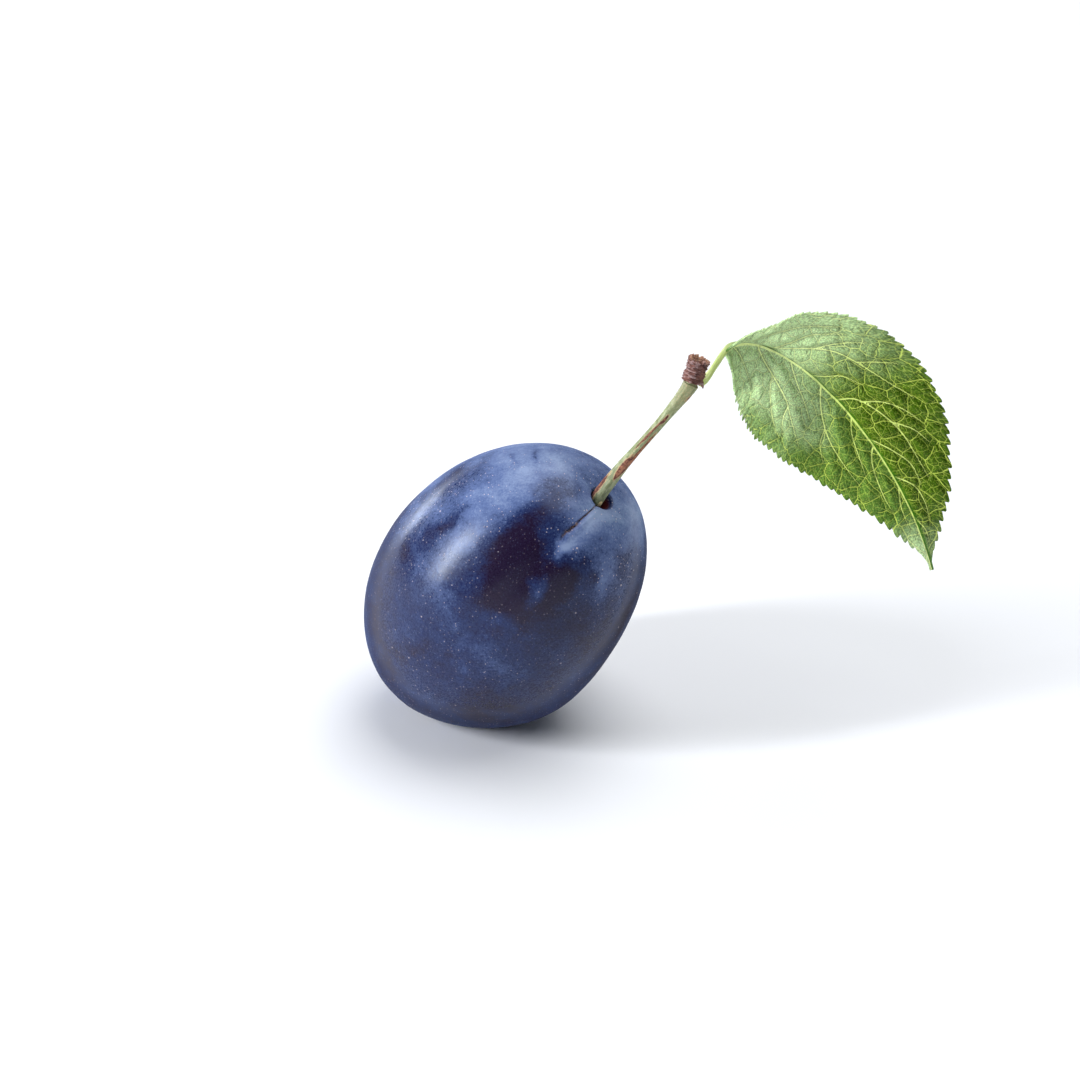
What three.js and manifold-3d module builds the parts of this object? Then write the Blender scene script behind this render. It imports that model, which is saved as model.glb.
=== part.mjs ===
// A blue prune plum as picked: the fruit, its stalk, the broken end of the spur it grew on, and one leaf.
// Millimetres, +Z up. The origin is the middle of the small flat spot that the fruit rests on, and the
// fruit's long axis leans up towards the stalk, over +X.
import * as THREE from "three";
import { mergeVertices } from "three/addons/utils/BufferGeometryUtils.js";
import Module from "manifold-3d";

const { Vector2, Vector3, MathUtils } = THREE;
const { degToRad, smoothstep, lerp } = MathUtils;

// ---- Driving dimensions ----

const fruitSize = {
  halfLength: 27.3,
  halfWidth: 19.5,
  axis: new Vector3(0.554, -0.272, 0.787).normalize(), // from the blossom end to the stalk
  suture: new Vector3(-0.39, -0.919, -0.044), // the side that the seam runs down
  centre: new Vector3(4.9, -2.4, 22.9), // above the flat spot
  belly: new Vector2(-0.24, 0.32), // how far the middle stands off the axis: across the seam, towards it
  lumpHeight: 0.12, // of the two broad lumps round the middle, and of the three that wind along it
  lumpPhase: 0.9,
  windingPhase: -2,
  winding: 2.4,
  lumpFrom: 3, // from the axis, where the lumps set in, and where they are whole
  lumpWhole: 12,
  segmentsAround: 56,
  segmentsAlong: 34,
  crowding: 0.06, // how much closer the sections stand towards both ends
};

const cavity = {
  dimpleDepth: 1.3,
  dimpleWidth: 4.6,
  radius: 1.85,
  lipRadius: 0.35,
  depth: 3.4,
  floorRadius: 1.45,
  floorBevel: 0.3,
  shift: new Vector2(0.47, 0.67), // off the axis: across the seam, towards the seam
  shiftReach: 12,
};

const suture = {
  grooveDepth: 0.3,
  grooveWidth: 2.2,
  grooveWholeAt: 0.9, // of the half length, towards the stalk
  crackDepth: 0.9,
  crackWidth: 0.45,
  crackFadesFrom: 2.25, // along the axis, from the stalk's end
  crackEndsAt: 4.1,
};

const blossomTip = { height: 0.5, width: 2.4 };

const underside = {
  bulge: 0.07, // of the radius
  bulgeAngle: 30,
  bulgeTilt: 25, // from straight down, towards the stalk's side
  edgeSoftness: 0.5, // of the flat spot's rim
};

const stalkSize = {
  path: [
    [13.0, -7.3, 17.75],
    [13.7, -7.7, 18.9],
    [14.7, -7.95, 21.0],
    [18.1, -7.15, 25.5],
    [23.3, -5.8, 31.5],
    [27.8, -4.4, 37.2],
    [28.2, -4.15, 38.25],
  ],
  radii: [0.85, 1.0, 0.95, 0.84, 0.74, 0.72, 0.78, 0.95, 1.2], // evenly spaced, from the foot to the flare
  footBevel: 0.25,
  shoulderBevel: 0.1,
  tenonRadius: 0.9,
  tenonLength: 0.9,
  ridges: 5,
  ridgeHeight: 0.05,
  ridgeTwist: 4, // radians from end to end
  segmentsAround: 20,
  segmentsAlong: 28,
};

const stubSize = {
  base: new Vector3(28.07, -4.23, 37.83),
  axis: new Vector3(0.3, 0.22, 0.93).normalize(),
  radius: 1.66,
  length: 3.6,
  socketRadius: 1.26,
  socketDepth: 0.85,
  hollowRadius: 1.0,
  hollowDepth: 0.9,
  ringCount: 7,
  ringHeight: 0.09,
  lowestRing: 0.15, // above the foot, and the highest below the broken end
  highestRing: 0.2,
  waist: 0.12, // how much the middle draws in
  roughness: 0.13,
  tearHeight: 0.35, // how unevenly the broken end is torn
  tornPart: 1.2, // how far the tear's unevenness reaches down
  scaleLength: 1.1, // the bud scale that reaches down over the stalk, under the leaf's foot
  scaleFlare: 0.35,
  scaleAngle: 0.55, // half its width, in radians
  scaleDirection: new Vector3(0.9, 0.25, -0.35),
  segmentsAround: 26,
};

const leafSize = {
  midrib: [
    [32.9, 0.3, 40.25],
    [40.4, 10.2, 42.0],
    [58.7, -10.2, 30.9],
    [66.1, -1.9, 4.0],
  ],
  faces: new Vector3(0, -0.866, 0.5), // the way that the upper side looks before it is rolled
  halfWidth: 14.8,
  baseTaper: 1.1,
  tipTaper: 1.44,
  wideSide: 1.09, // the half on the +X side is a little wider than the other
  endHalfWidth: 0.3,
  rollAtBase: 65,
  rollAtTip: 8,
  foldAtBase: 36,
  foldAtTip: 3,
  curl: 31,
  thickness: 0.62,
  teeth: 44, // on each side
  toothDepth: 0.5,
  toothShape: [[0, 0], [0.42, 0.7], [0.84, 1]], // place in the tooth, share of its depth: it leans to the tip
  columns: [-1, -0.64, -0.3, 0, 0.3, 0.64, 1], // where the blade is built across, as shares of the half width
  marginWave: 0.35,
  marginWaves: 5,
};

const petioleSize = {
  path: [
    [29.15, -2.25, 36.55],
    [30.4, -1.4, 37.1],
    [31.8, -0.6, 38.9],
  ],
  footRadius: 0.8,
  radius: 0.47,
  midribEndRadius: 0.22,
  midribStations: [0, 0.08, 0.2, 0.36, 0.53, 0.7, 0.86], // along the blade, as far as the midrib stands out
  midribSink: 0.1, // into the blade's underside
  footShare: 0.012, // of the whole rod, which the foot's bevel takes
  segmentsAround: 10,
  segmentsAlong: 36,
};

// ---- Helpers ----

const wasm = await Module();
wasm.setup();

// Only the positions, with shared corners merged, so that the surface is closed.
function sealed(geometry) {
  geometry.deleteAttribute("normal");
  geometry.deleteAttribute("uv");
  const merged = mergeVertices(geometry, 1e-4);
  merged.computeVertexNormals();
  return merged;
}

function solidFrom(geometry) {
  const vertProperties = new Float32Array(geometry.getAttribute("position").array);
  const triVerts = new Uint32Array(geometry.index.array);
  return new wasm.Manifold(new wasm.Mesh({ numProp: 3, vertProperties, triVerts }));
}

function geometryFrom(solid) {
  const { vertProperties, triVerts } = solid.getMesh();
  const geometry = new THREE.BufferGeometry();
  geometry.setAttribute("position", new THREE.BufferAttribute(vertProperties, 3));
  geometry.setIndex(new THREE.BufferAttribute(triVerts, 1));
  geometry.computeVertexNormals();
  return geometry;
}

// Moves every vertex of a geometry to where place(vertex) says.
function reshaped(geometry, place) {
  const positions = geometry.getAttribute("position");
  const vertex = new Vector3();
  for (let i = 0; i < positions.count; i++) {
    vertex.fromBufferAttribute(positions, i);
    const moved = place(vertex);
    positions.setXYZ(i, moved.x, moved.y, moved.z);
  }
  return geometry;
}

// A lathed rod whose height runs along a curve: a vertex at height h, 0 to 1, keeps its distance from
// the middle and moves to the curve's point h, in a frame that doesn't twist along the way.
function bentAlong(geometry, curve, steps = 60) {
  const frames = curve.computeFrenetFrames(steps, false);
  return reshaped(geometry, ({ x, y, z }) => {
    const along = MathUtils.clamp(y, 0, 1);
    const step = Math.min(Math.floor(along * steps), steps - 1);
    const blend = along * steps - step;
    const side = frames.normals[step].clone().lerp(frames.normals[step + 1], blend);
    const other = frames.binormals[step].clone().lerp(frames.binormals[step + 1], blend);
    return curve.getPointAt(along).addScaledVector(side, x).addScaledVector(other, -z);
  });
}

function curveThrough(points) {
  return new THREE.CatmullRomCurve3(points.map((point) => new Vector3(...point)));
}

function bell(distance, width) {
  return Math.exp(-((distance / width) ** 2));
}

// A repeatable ripple with no pattern to the eye, between -1 and 1.
function ripple(a, b, c) {
  return (Math.sin(a * 5.1 + b * 2.3) + Math.sin(b * 7.7 - c * 3.9 + 1.3) + Math.sin(c * 9.2 + a * 4.4)) / 3;
}

// ---- Fruit ----

// Half the fruit's section, from the blossom end to the floor of the stalk's cavity.
function fruitProfile() {
  const { halfLength, halfWidth, segmentsAlong, crowding } = fruitSize;
  const { dimpleDepth, dimpleWidth, radius, lipRadius, depth, floorRadius, floorBevel } = cavity;
  const rim = radius + lipRadius;
  const surface = (angle) => {
    const across = halfWidth * Math.sin(angle);
    const stalkEnd = angle > Math.PI / 2;
    const hollow = stalkEnd ? dimpleDepth * bell(across, dimpleWidth) : 0;
    const tip = stalkEnd ? 0 : blossomTip.height * bell(across, blossomTip.width);
    return new Vector2(across, -halfLength * Math.cos(angle) - hollow - tip);
  };
  const rimAngle = Math.PI - Math.asin(rim / halfWidth);
  const points = [new Vector2(0, surface(0).y)];
  for (let i = 1; i <= segmentsAlong; i++) {
    const even = i / segmentsAlong;
    points.push(surface(rimAngle * (even - (crowding * Math.sin(2 * Math.PI * even)) / Math.PI)));
  }
  const lip = points.at(-1);
  for (const turn of [30, 60, 90]) {
    const angle = degToRad(turn);
    points.push(new Vector2(rim - lipRadius * Math.sin(angle), lip.y - lipRadius * (1 - Math.cos(angle))));
  }
  const floor = lip.y - depth;
  points.push(new Vector2(lerp(radius, floorRadius, 0.5), lerp(lip.y, floor, 0.5)));
  points.push(new Vector2(floorRadius, floor + floorBevel));
  points.push(new Vector2(floorRadius - floorBevel, floor));
  points.push(new Vector2(0, floor));
  return points;
}

// How far the seam pulls the skin in: a shallow groove from end to end, and by the cavity a short crack.
// A place is given by its height along the axis and its distance across the seam.
function seamDepth(height, across) {
  const { halfLength } = fruitSize;
  const { grooveDepth, grooveWidth, grooveWholeAt, crackDepth, crackWidth } = suture;
  const grooveGrows = smoothstep(height, -halfLength, halfLength * grooveWholeAt);
  const groove = grooveDepth * bell(across, grooveWidth) * grooveGrows;
  const fromStalkEnd = halfLength - cavity.dimpleDepth - height;
  const crackFade = 1 - smoothstep(fromStalkEnd, suture.crackFadesFrom, suture.crackEndsAt);
  return groove + crackDepth * bell(across, crackWidth) * crackFade;
}

// A soft floor: what would reach below it is flattened onto it, with a rounded edge.
function aboveFloor(height) {
  const soft = underside.edgeSoftness;
  if (height >= soft) return height;
  if (height <= -soft) return 0;
  return (height + soft) ** 2 / (4 * soft);
}

// From the upright fruit, stalk end up along Y, to the leaning one that has settled on its flat spot.
function settle(vertex) {
  const { halfLength, halfWidth, axis, centre, belly } = fruitSize;
  const { lumpHeight, lumpPhase, windingPhase, winding, lumpFrom, lumpWhole } = fruitSize;
  const rim = cavity.radius + cavity.lipRadius;
  const across = Math.hypot(vertex.x, vertex.z);
  const angle = Math.atan2(vertex.x, vertex.z);
  const slope = vertex.y / halfLength;
  const middle = 1 - slope ** 2;
  const broad = Math.sin(2 * angle + lumpPhase) * middle;
  const wound = Math.sin(3 * angle + windingPhase + winding * slope);
  const lumps = lumpHeight * (broad + wound) * smoothstep(across, lumpFrom, lumpWhole);
  const grown = across * (1 + lumps / halfWidth);
  const shift = vertex.y > 0 ? 1 - smoothstep(across, 0, cavity.shiftReach) : 0;
  const x = grown * Math.sin(angle) + cavity.shift.x * shift + belly.x * middle;
  const z = grown * Math.cos(angle) + cavity.shift.y * shift + belly.y * middle;
  const local = new Vector3(x, vertex.y, z);

  const onSeamSide = Math.cos(angle) > 0;
  const justInside = 0.99;
  const insideCavity = vertex.y > 0 && across < rim * justInside;
  if (onSeamSide && insideCavity) {
    const mouth = halfLength - cavity.dimpleDepth;
    const upTheWall = smoothstep(vertex.y, mouth - cavity.depth, mouth);
    local.y -= seamDepth(halfLength, Math.abs(vertex.x)) * upTheWall;
  } else if (onSeamSide) {
    const inwards = new Vector3(-x / halfWidth ** 2, -vertex.y / halfLength ** 2, -z / halfWidth ** 2);
    local.addScaledVector(inwards.normalize(), seamDepth(vertex.y, Math.abs(vertex.x)));
  }

  const seam = fruitSize.suture.clone().addScaledVector(axis, -fruitSize.suture.dot(axis)).normalize();
  const aside = new Vector3().crossVectors(axis, seam);
  const leaning = aside.multiplyScalar(local.x).addScaledVector(axis, local.y).addScaledVector(seam, local.z);
  return rested(leaning).add(new Vector3(centre.x, centre.y, 0));
}

// Fills out the underside, then lowers the fruit onto its flat spot: x and y stay about the middle.
function rested(point) {
  const { bulge, bulgeAngle, bulgeTilt } = underside;
  const tilt = degToRad(bulgeTilt);
  const level = new Vector3(fruitSize.axis.x, fruitSize.axis.y, 0).normalize();
  const down = level.multiplyScalar(Math.sin(tilt)).add(new Vector3(0, 0, -Math.cos(tilt)));
  const away = MathUtils.radToDeg(point.angleTo(down));
  const full = point.clone().multiplyScalar(1 + bulge * bell(away, bulgeAngle));
  full.z = aboveFloor(full.z + fruitSize.centre.z);
  return full;
}

function fruit() {
  const upright = new THREE.LatheGeometry(fruitProfile(), fruitSize.segmentsAround);
  const geometry = sealed(reshaped(upright, settle));
  const skin = new THREE.MeshStandardMaterial({ color: 0x34466f, roughness: 0.55, metalness: 0 });
  return named("fruit", geometry, skin);
}

// ---- Stalk ----

function stalkProfile() {
  const { radii, footBevel, shoulderBevel, tenonRadius, tenonLength, segmentsAlong } = stalkSize;
  const length = curveThrough(stalkSize.path).getLength();
  const shoulder = length - tenonLength;
  const thickness = new THREE.SplineCurve(radii.map((radius, i) => new Vector2(radius, i)));
  const points = [new Vector2(0, 0), new Vector2(radii[0] - footBevel, 0)];
  for (let i = 0; i <= segmentsAlong; i++) {
    const share = i / segmentsAlong;
    points.push(new Vector2(thickness.getPoint(share).x, lerp(footBevel, shoulder, share)));
  }
  points.push(new Vector2(tenonRadius + shoulderBevel, shoulder + shoulderBevel));
  points.push(new Vector2(tenonRadius, length));
  points.push(new Vector2(0, length));
  return points.map((point) => new Vector2(point.x, point.y / length));
}

function stalk() {
  const { ridges, ridgeHeight, ridgeTwist, radii, segmentsAround } = stalkSize;
  const straight = new THREE.LatheGeometry(stalkProfile(), segmentsAround);
  const ridged = reshaped(straight, (vertex) => {
    const angle = Math.atan2(vertex.x, vertex.z);
    const swell = 1 + (ridgeHeight / radii[0]) * Math.sin(ridges * angle + ridgeTwist * vertex.y);
    return new Vector3(vertex.x * swell, vertex.y, vertex.z * swell);
  });
  const geometry = sealed(bentAlong(ridged, curveThrough(stalkSize.path)));
  const bark = new THREE.MeshStandardMaterial({ color: 0x93a05f, roughness: 0.75, metalness: 0 });
  return named("stalk", geometry, bark);
}

// ---- Spur stub ----

// A ragged collar: a socket over the stalk's end below, rings of old leaf scars outside, a torn hollow above.
function stubProfile() {
  const { radius, length, socketRadius, socketDepth, hollowRadius, hollowDepth } = stubSize;
  const { ringCount, ringHeight, lowestRing, highestRing } = stubSize;
  const points = [new Vector2(0, socketDepth), new Vector2(socketRadius, socketDepth)];
  points.push(new Vector2(socketRadius, 0), new Vector2(lerp(socketRadius, radius, 0.6), 0));
  const steps = ringCount * 2;
  for (let i = 0; i <= steps; i++) {
    const height = lerp(lowestRing, length - highestRing, i / steps);
    const drawnIn = stubSize.waist * Math.sin((Math.PI * i) / steps);
    points.push(new Vector2(radius - drawnIn + (i % 2 ? ringHeight : -ringHeight), height));
  }
  points.push(new Vector2(lerp(hollowRadius, radius, 0.5), length));
  points.push(new Vector2(hollowRadius, length - hollowDepth * 0.5));
  points.push(new Vector2(hollowRadius * 0.5, length - hollowDepth));
  points.push(new Vector2(0, length - hollowDepth * 0.8));
  return points;
}

function spurStub() {
  const { base, axis, radius, length, socketRadius, roughness, tearHeight, tornPart } = stubSize;
  const { scaleLength, scaleFlare, scaleAngle, scaleDirection, segmentsAround } = stubSize;
  const facing = scaleDirection.clone().addScaledVector(axis, -scaleDirection.dot(axis)).normalize();
  const aside = new Vector3().crossVectors(axis, facing);
  const straight = new THREE.LatheGeometry(stubProfile(), segmentsAround);
  const ragged = reshaped(straight, (vertex) => {
    const across = Math.hypot(vertex.x, vertex.z);
    const angle = Math.atan2(vertex.x, vertex.z);
    const outer = smoothstep(across, socketRadius + 0.1, radius - 0.1);
    const low = 1 - smoothstep(vertex.y, 0, scaleLength);
    const high = smoothstep(vertex.y, length - tornPart, length);
    const scale = bell(angle, scaleAngle) * low * smoothstep(across, socketRadius, radius);
    const rough = ripple(Math.sin(angle) * 2.2, vertex.y * 1.4, Math.cos(angle) * 2.2);
    const swell = 1 + (outer * roughness * rough + scale * scaleFlare) / Math.max(across, socketRadius);
    const tear = tearHeight * high * ripple(Math.cos(angle) * 1.7, 2, Math.sin(angle) * 1.9);
    const lift = tear - scale * scaleLength;
    return new Vector3(vertex.x * swell, vertex.y + lift, vertex.z * swell);
  });
  const placed = reshaped(ragged, ({ x, y, z }) =>
    base.clone().addScaledVector(aside, x).addScaledVector(axis, y).addScaledVector(facing, z),
  );
  const bark = new THREE.MeshStandardMaterial({ color: 0x5b3a30, roughness: 0.9, metalness: 0 });
  return named("spur_stub", sealed(placed), bark);
}

// ---- Leaf ----

const midrib = new THREE.CubicBezierCurve3(...leafSize.midrib.map((point) => new Vector3(...point)));

// The blade's own directions at a place along the midrib: across it, and out of its upper side.
function bladeFrame(along) {
  const forward = midrib.getTangent(along);
  const across = new Vector3().crossVectors(leafSize.faces, forward).normalize();
  const out = new Vector3().crossVectors(forward, across);
  return { point: midrib.getPoint(along), forward, across, out };
}

// Half the blade's width, the teeth left out: widest a little before the middle.
function bladeHalfWidth(along) {
  const { halfWidth, baseTaper, tipTaper, endHalfWidth } = leafSize;
  const widest = baseTaper / (baseTaper + tipTaper);
  const peak = widest ** baseTaper * (1 - widest) ** tipTaper;
  return Math.max(endHalfWidth, (halfWidth * along ** baseTaper * (1 - along) ** tipTaper) / peak);
}

// A point of the blade: along runs from the petiole to the tip, across from -1 to 1 with the +X half
// positive, and tooth is what the margin's teeth add to the width there.
function bladePoint(along, across, tooth = 0) {
  const { rollAtBase, rollAtTip, foldAtBase, foldAtTip, wideSide, marginWave, marginWaves } = leafSize;
  const side = Math.sign(across) || 1;
  const curl = degToRad(leafSize.curl);
  const roll = degToRad(lerp(rollAtTip + rollAtBase, rollAtTip, along) - rollAtTip * (1 - along) ** 4);
  const fold = degToRad(lerp(foldAtBase, foldAtTip, along));
  const width = bladeHalfWidth(along) * (side > 0 ? wideSide : 2 - wideSide) + tooth;
  const start = roll + side * fold;
  const end = start - side * curl * Math.abs(across);
  const reach = (width * side) / curl;
  const frame = bladeFrame(along);
  const point = frame.point;
  point.addScaledVector(frame.across, reach * Math.abs(Math.sin(start) - Math.sin(end)));
  point.addScaledVector(frame.out, reach * side * (Math.cos(end) - Math.cos(start)));
  const wave = marginWave * across ** 2 * Math.sin(2 * Math.PI * marginWaves * along + side);
  return point.addScaledVector(frame.out, wave * smoothstep(width, 1, 6));
}

function bladeNormal(along, across) {
  const stepAlong = 0.004;
  const before = Math.max(along - stepAlong, 0);
  const after = Math.min(along + stepAlong, 1);
  const forward = bladePoint(after, across).sub(bladePoint(before, across));
  const stepAcross = 0.05;
  const low = Math.max(across - stepAcross, -1);
  const high = Math.min(across + stepAcross, 1);
  const sideways = bladePoint(along, high).sub(bladePoint(along, low));
  return forward.cross(sideways).normalize();
}

// The places along the midrib that the blade is built at, and how far the margin's tooth stands out there.
function bladeStations() {
  const { teeth, toothShape } = leafSize;
  const stations = [];
  for (let tooth = 0; tooth < teeth; tooth++)
    for (const [place, height] of toothShape)
      stations.push({ along: (tooth + place) / teeth, height });
  stations.push({ along: 1, height: 0 });
  return stations;
}

// The blade as a closed slab, with the same triangles on its upper and its under side.
function blade() {
  const { columns } = leafSize;
  const stations = bladeStations();
  const positions = [];
  for (const face of [1, -1])
    for (const { along, height } of stations)
      for (const across of columns) {
        const tooth = leafSize.toothDepth * height * smoothstep(bladeHalfWidth(along), 0.4, 3);
        const point = bladePoint(along, across, tooth * Math.abs(across));
        point.addScaledVector(bladeNormal(along, across), (face * leafSize.thickness) / 2);
        positions.push(point.x, point.y, point.z);
      }

  const wide = columns.length;
  const count = stations.length * wide;
  const indices = [];
  const quad = (a, b, c, d) => indices.push(a, b, c, a, c, d);
  for (let row = 0; row + 1 < stations.length; row++)
    for (let column = 0; column + 1 < wide; column++) {
      const at = row * wide + column;
      quad(at, at + wide, at + wide + 1, at + 1);
      quad(count + at + 1, count + at + wide + 1, count + at + wide, count + at);
    }
  for (let row = 0; row + 1 < stations.length; row++) {
    const left = row * wide;
    const right = left + wide - 1;
    quad(left, count + left, count + left + wide, left + wide);
    quad(right, right + wide, count + right + wide, count + right);
  }
  const last = count - wide;
  for (let column = 0; column + 1 < wide; column++) {
    quad(column, column + 1, count + column + 1, count + column);
    quad(last + column, count + last + column, count + last + column + 1, last + column + 1);
  }
  const geometry = new THREE.BufferGeometry();
  geometry.setAttribute("position", new THREE.Float32BufferAttribute(positions, 3));
  geometry.setIndex(indices);
  return geometry;
}

// The petiole, which runs on under the blade as its raised midrib.
function petioleRod() {
  const { path, footRadius, radius, midribEndRadius, midribStations, midribSink, footShare } = petioleSize;
  const { segmentsAround, segmentsAlong } = petioleSize;
  const keel = midribStations.map((along) => {
    const { point, out } = bladeFrame(along);
    const below = along === 0 ? 0 : leafSize.thickness / 2 - midribSink;
    return point.addScaledVector(bladeNormal(along, 0).lerp(out, 0.5).normalize(), -below).toArray();
  });
  const curve = curveThrough([...path, ...keel]);
  const length = curve.getLength();
  const petioleShare = curveThrough([...path, keel[0]]).getLength() / length;
  const points = [new Vector2(0, 0), new Vector2(footRadius * 0.8, 0), new Vector2(footRadius, footShare)];
  for (let i = 1; i <= segmentsAlong; i++) {
    const height = lerp(footShare, 1, i / segmentsAlong);
    const stem = lerp(footRadius, radius, smoothstep(height, 0, petioleShare / 2));
    points.push(new Vector2(lerp(stem, midribEndRadius, smoothstep(height, petioleShare, 1)), height));
  }
  points.push(new Vector2(0, 1));
  return sealed(bentAlong(new THREE.LatheGeometry(points, segmentsAround), curve, 160));
}

function leaf() {
  const joined = solidFrom(blade()).add(solidFrom(petioleRod()));
  const green = new THREE.MeshStandardMaterial({ color: 0x4f8a2c, roughness: 0.55, metalness: 0 });
  return named("leaf", geometryFrom(joined), green);
}

// ---- Assembly ----

function named(name, geometry, material) {
  const mesh = new THREE.Mesh(geometry, material);
  mesh.name = name;
  return mesh;
}

// The stalk, the stub and the leaf are laid out from the middle of the fruit.
const foliage = new THREE.Group();
foliage.position.copy(fruitSize.centre);
foliage.add(stalk(), spurStub(), leaf());

const plum = new THREE.Group();
plum.name = "plum";
plum.add(fruit(), foliage);

export default plum;
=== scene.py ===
"""A blue prune plum resting on a pale table, with its stalk, a broken end of spur and one leaf.

Sizes are in millimetres, and each finished mesh is brought to metres. The fruit leans on the side
of its blossom end: its own directions are the side of the seam, the side next to it, and the axis
from the blossom end to the stalk. The stalk, the spur and the leaf are placed from its middle.
"""

import logging
import math
from dataclasses import dataclass
from enum import Enum
from functools import cached_property
from typing import Callable, Sequence, Union

import bpy
import numpy as np
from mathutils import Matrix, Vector, noise


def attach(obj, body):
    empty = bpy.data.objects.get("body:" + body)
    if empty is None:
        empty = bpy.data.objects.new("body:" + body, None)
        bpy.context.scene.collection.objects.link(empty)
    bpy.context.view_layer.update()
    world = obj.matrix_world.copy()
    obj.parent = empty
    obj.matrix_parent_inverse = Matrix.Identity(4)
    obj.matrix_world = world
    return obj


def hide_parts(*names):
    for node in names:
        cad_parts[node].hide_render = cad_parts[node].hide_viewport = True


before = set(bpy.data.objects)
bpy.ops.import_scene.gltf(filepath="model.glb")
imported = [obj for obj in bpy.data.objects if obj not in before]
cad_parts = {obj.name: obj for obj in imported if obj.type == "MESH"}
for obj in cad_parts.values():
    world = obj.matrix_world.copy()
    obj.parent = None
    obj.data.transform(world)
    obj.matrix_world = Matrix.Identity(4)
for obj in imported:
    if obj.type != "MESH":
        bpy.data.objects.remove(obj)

Points = np.ndarray
Place = tuple[float, float, float]
Colour = tuple[float, float, float]
Pair = tuple[float, float]
Rows = Sequence[Sequence[float]]
Piece = bpy.types.Object
Socket = bpy.types.NodeSocket
Feed = Union[float, Sequence[float], Socket]

MM = 0.001
FRUIT_MIDDLE = np.array([4.9, -2.4, 22.9])
UP_AND_FORWARD = np.array([0.0, -0.866, 0.5])

log = logging.getLogger("plum")


# ---- Numbers along a shape ----


def bell(distance: Points, width: float) -> Points:
    """A smooth hump: 1 in the middle, falling away over a width."""
    return np.exp(-((distance / width) ** 2))


def eased(value: Points, low: float, high: float) -> Points:
    """0 below low, 1 above high, and a smooth rise between them."""
    share = np.clip((value - low) / (high - low), 0.0, 1.0)
    return share * share * (3 - 2 * share)


def faded(value: Points, low: float, high: float) -> Points:
    """1 below low, 0 above high, and a smooth fall between them."""
    return 1 - eased(value, low, high)


def unit(vectors: Points) -> Points:
    """The same directions with length 1."""
    vectors = np.asarray(vectors, float)
    return vectors / np.linalg.norm(vectors, axis=-1, keepdims=True)


def cloud(points: Points, size: float, octaves: int = 4, offset: float = 0.0) -> Points:
    """Smooth repeatable noise over points.

    Args:
        points: Places, in millimetres.
        size: How wide its largest blotches are, in millimetres.
        octaves: How many finer layers it has.
        offset: Moves to another part of the same noise.

    Returns:
        One value for each place, mostly between -0.7 and 0.7.
    """
    roughness, scaling = 0.9, 2.1
    scaled = np.asarray(points, float) / size + offset
    return np.array([noise.fractal(Vector(p), roughness, scaling, octaves) for p in scaled])


def spline(stations: Rows, shares: Points, even: bool = False) -> Points:
    """A smooth curve through stations.

    Args:
        stations: The places that it runs through, in order.
        shares: Where to read it, from 0 at the first station to 1 at the last.
        even: Reads every stretch at the same pace, as suits plain numbers; otherwise the
            stretches are weighed by their lengths, as suits a path in space.

    Returns:
        The places on the curve, one for each share.
    """
    knots = np.array(stations, float).reshape(len(stations), -1)
    knots = np.vstack([2 * knots[0] - knots[1], knots, 2 * knots[-1] - knots[-2]])
    gaps = np.ones(len(knots) - 1)
    if not even:
        gaps = np.linalg.norm(np.diff(knots, axis=0), axis=1) ** 0.5
    reading = np.clip(np.asarray(shares, float), 0, 1) * (len(stations) - 1)
    stretch = np.minimum(reading.astype(int), len(stations) - 2)
    t = (reading - stretch)[:, None]
    a, b, c, d = (knots[stretch + i] for i in range(4))
    before, here, after = (gaps[stretch + i][:, None] for i in range(3))
    leave = ((b - a) / before - (c - a) / (before + here) + (c - b) / here) * here
    arrive = ((c - b) / here - (d - b) / (here + after) + (d - c) / after) * here
    return (
        b + leave * t
        + (3 * (c - b) - 2 * leave - arrive) * t**2
        + (2 * (b - c) + leave + arrive) * t**3
    )


@dataclass
class Path:
    """A smooth line in space that can be read by its length."""

    stations: Rows
    samples: int = 1200

    def __post_init__(self) -> None:
        """Measures the line."""
        self.line = spline(self.stations, np.linspace(0, 1, self.samples))
        steps = np.linalg.norm(np.diff(self.line, axis=0), axis=1)
        self.reach = np.concatenate([[0.0], np.cumsum(steps)])

    @property
    def length(self) -> float:
        """The whole length of the line."""
        return float(self.reach[-1])

    def frames(self, distance: Points, faces: Sequence[float]) -> tuple[Points, Points, Points]:
        """Places on the line, with the two directions across it.

        Args:
            distance: How far along the line each place is.
            faces: Roughly the way that the first direction looks.

        Returns:
            The places, the directions that look that way, and those a quarter turn on.
        """
        way = np.asarray(faces, float)
        heading = unit(np.gradient(self.line, axis=0))
        first = unit(way - (heading @ way)[:, None] * heading)
        second = np.cross(heading, first)
        reads = [
            np.column_stack([np.interp(distance, self.reach, column) for column in each.T])
            for each in (self.line, first, second)
        ]
        return reads[0], unit(reads[1]), unit(reads[2])

    def carried(self, straight: Points, swell: Points, faces: Sequence[float]) -> Points:
        """An upright rod bent onto the line.

        Args:
            straight: The rod's corners, with its foot at height 0.
            swell: What each corner's distance from the rod's axis is multiplied by.
            faces: Roughly the way that the rod's first side looks.

        Returns:
            The corners at their new places.
        """
        places, first, second = self.frames(straight[:, 2], faces)
        wide = straight[:, :2] * swell[:, None]
        return places + first * wide[:, :1] + second * wide[:, 1:]


# ---- Meshes ----


def coordinates(piece: Piece) -> Points:
    """Reads a mesh's corners.

    Args:
        piece: The piece.

    Returns:
        Every corner's place, one row each.
    """
    flat = np.empty(len(piece.data.vertices) * 3)
    piece.data.vertices.foreach_get("co", flat)
    return flat.reshape(-1, 3)


def rounded(straight: Points) -> tuple[Points, Points, Points]:
    """The distance from the upright axis, the turn round it in radians, and the height."""
    x, y, height = straight.T
    return np.hypot(x, y), np.arctan2(y, x), height


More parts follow.
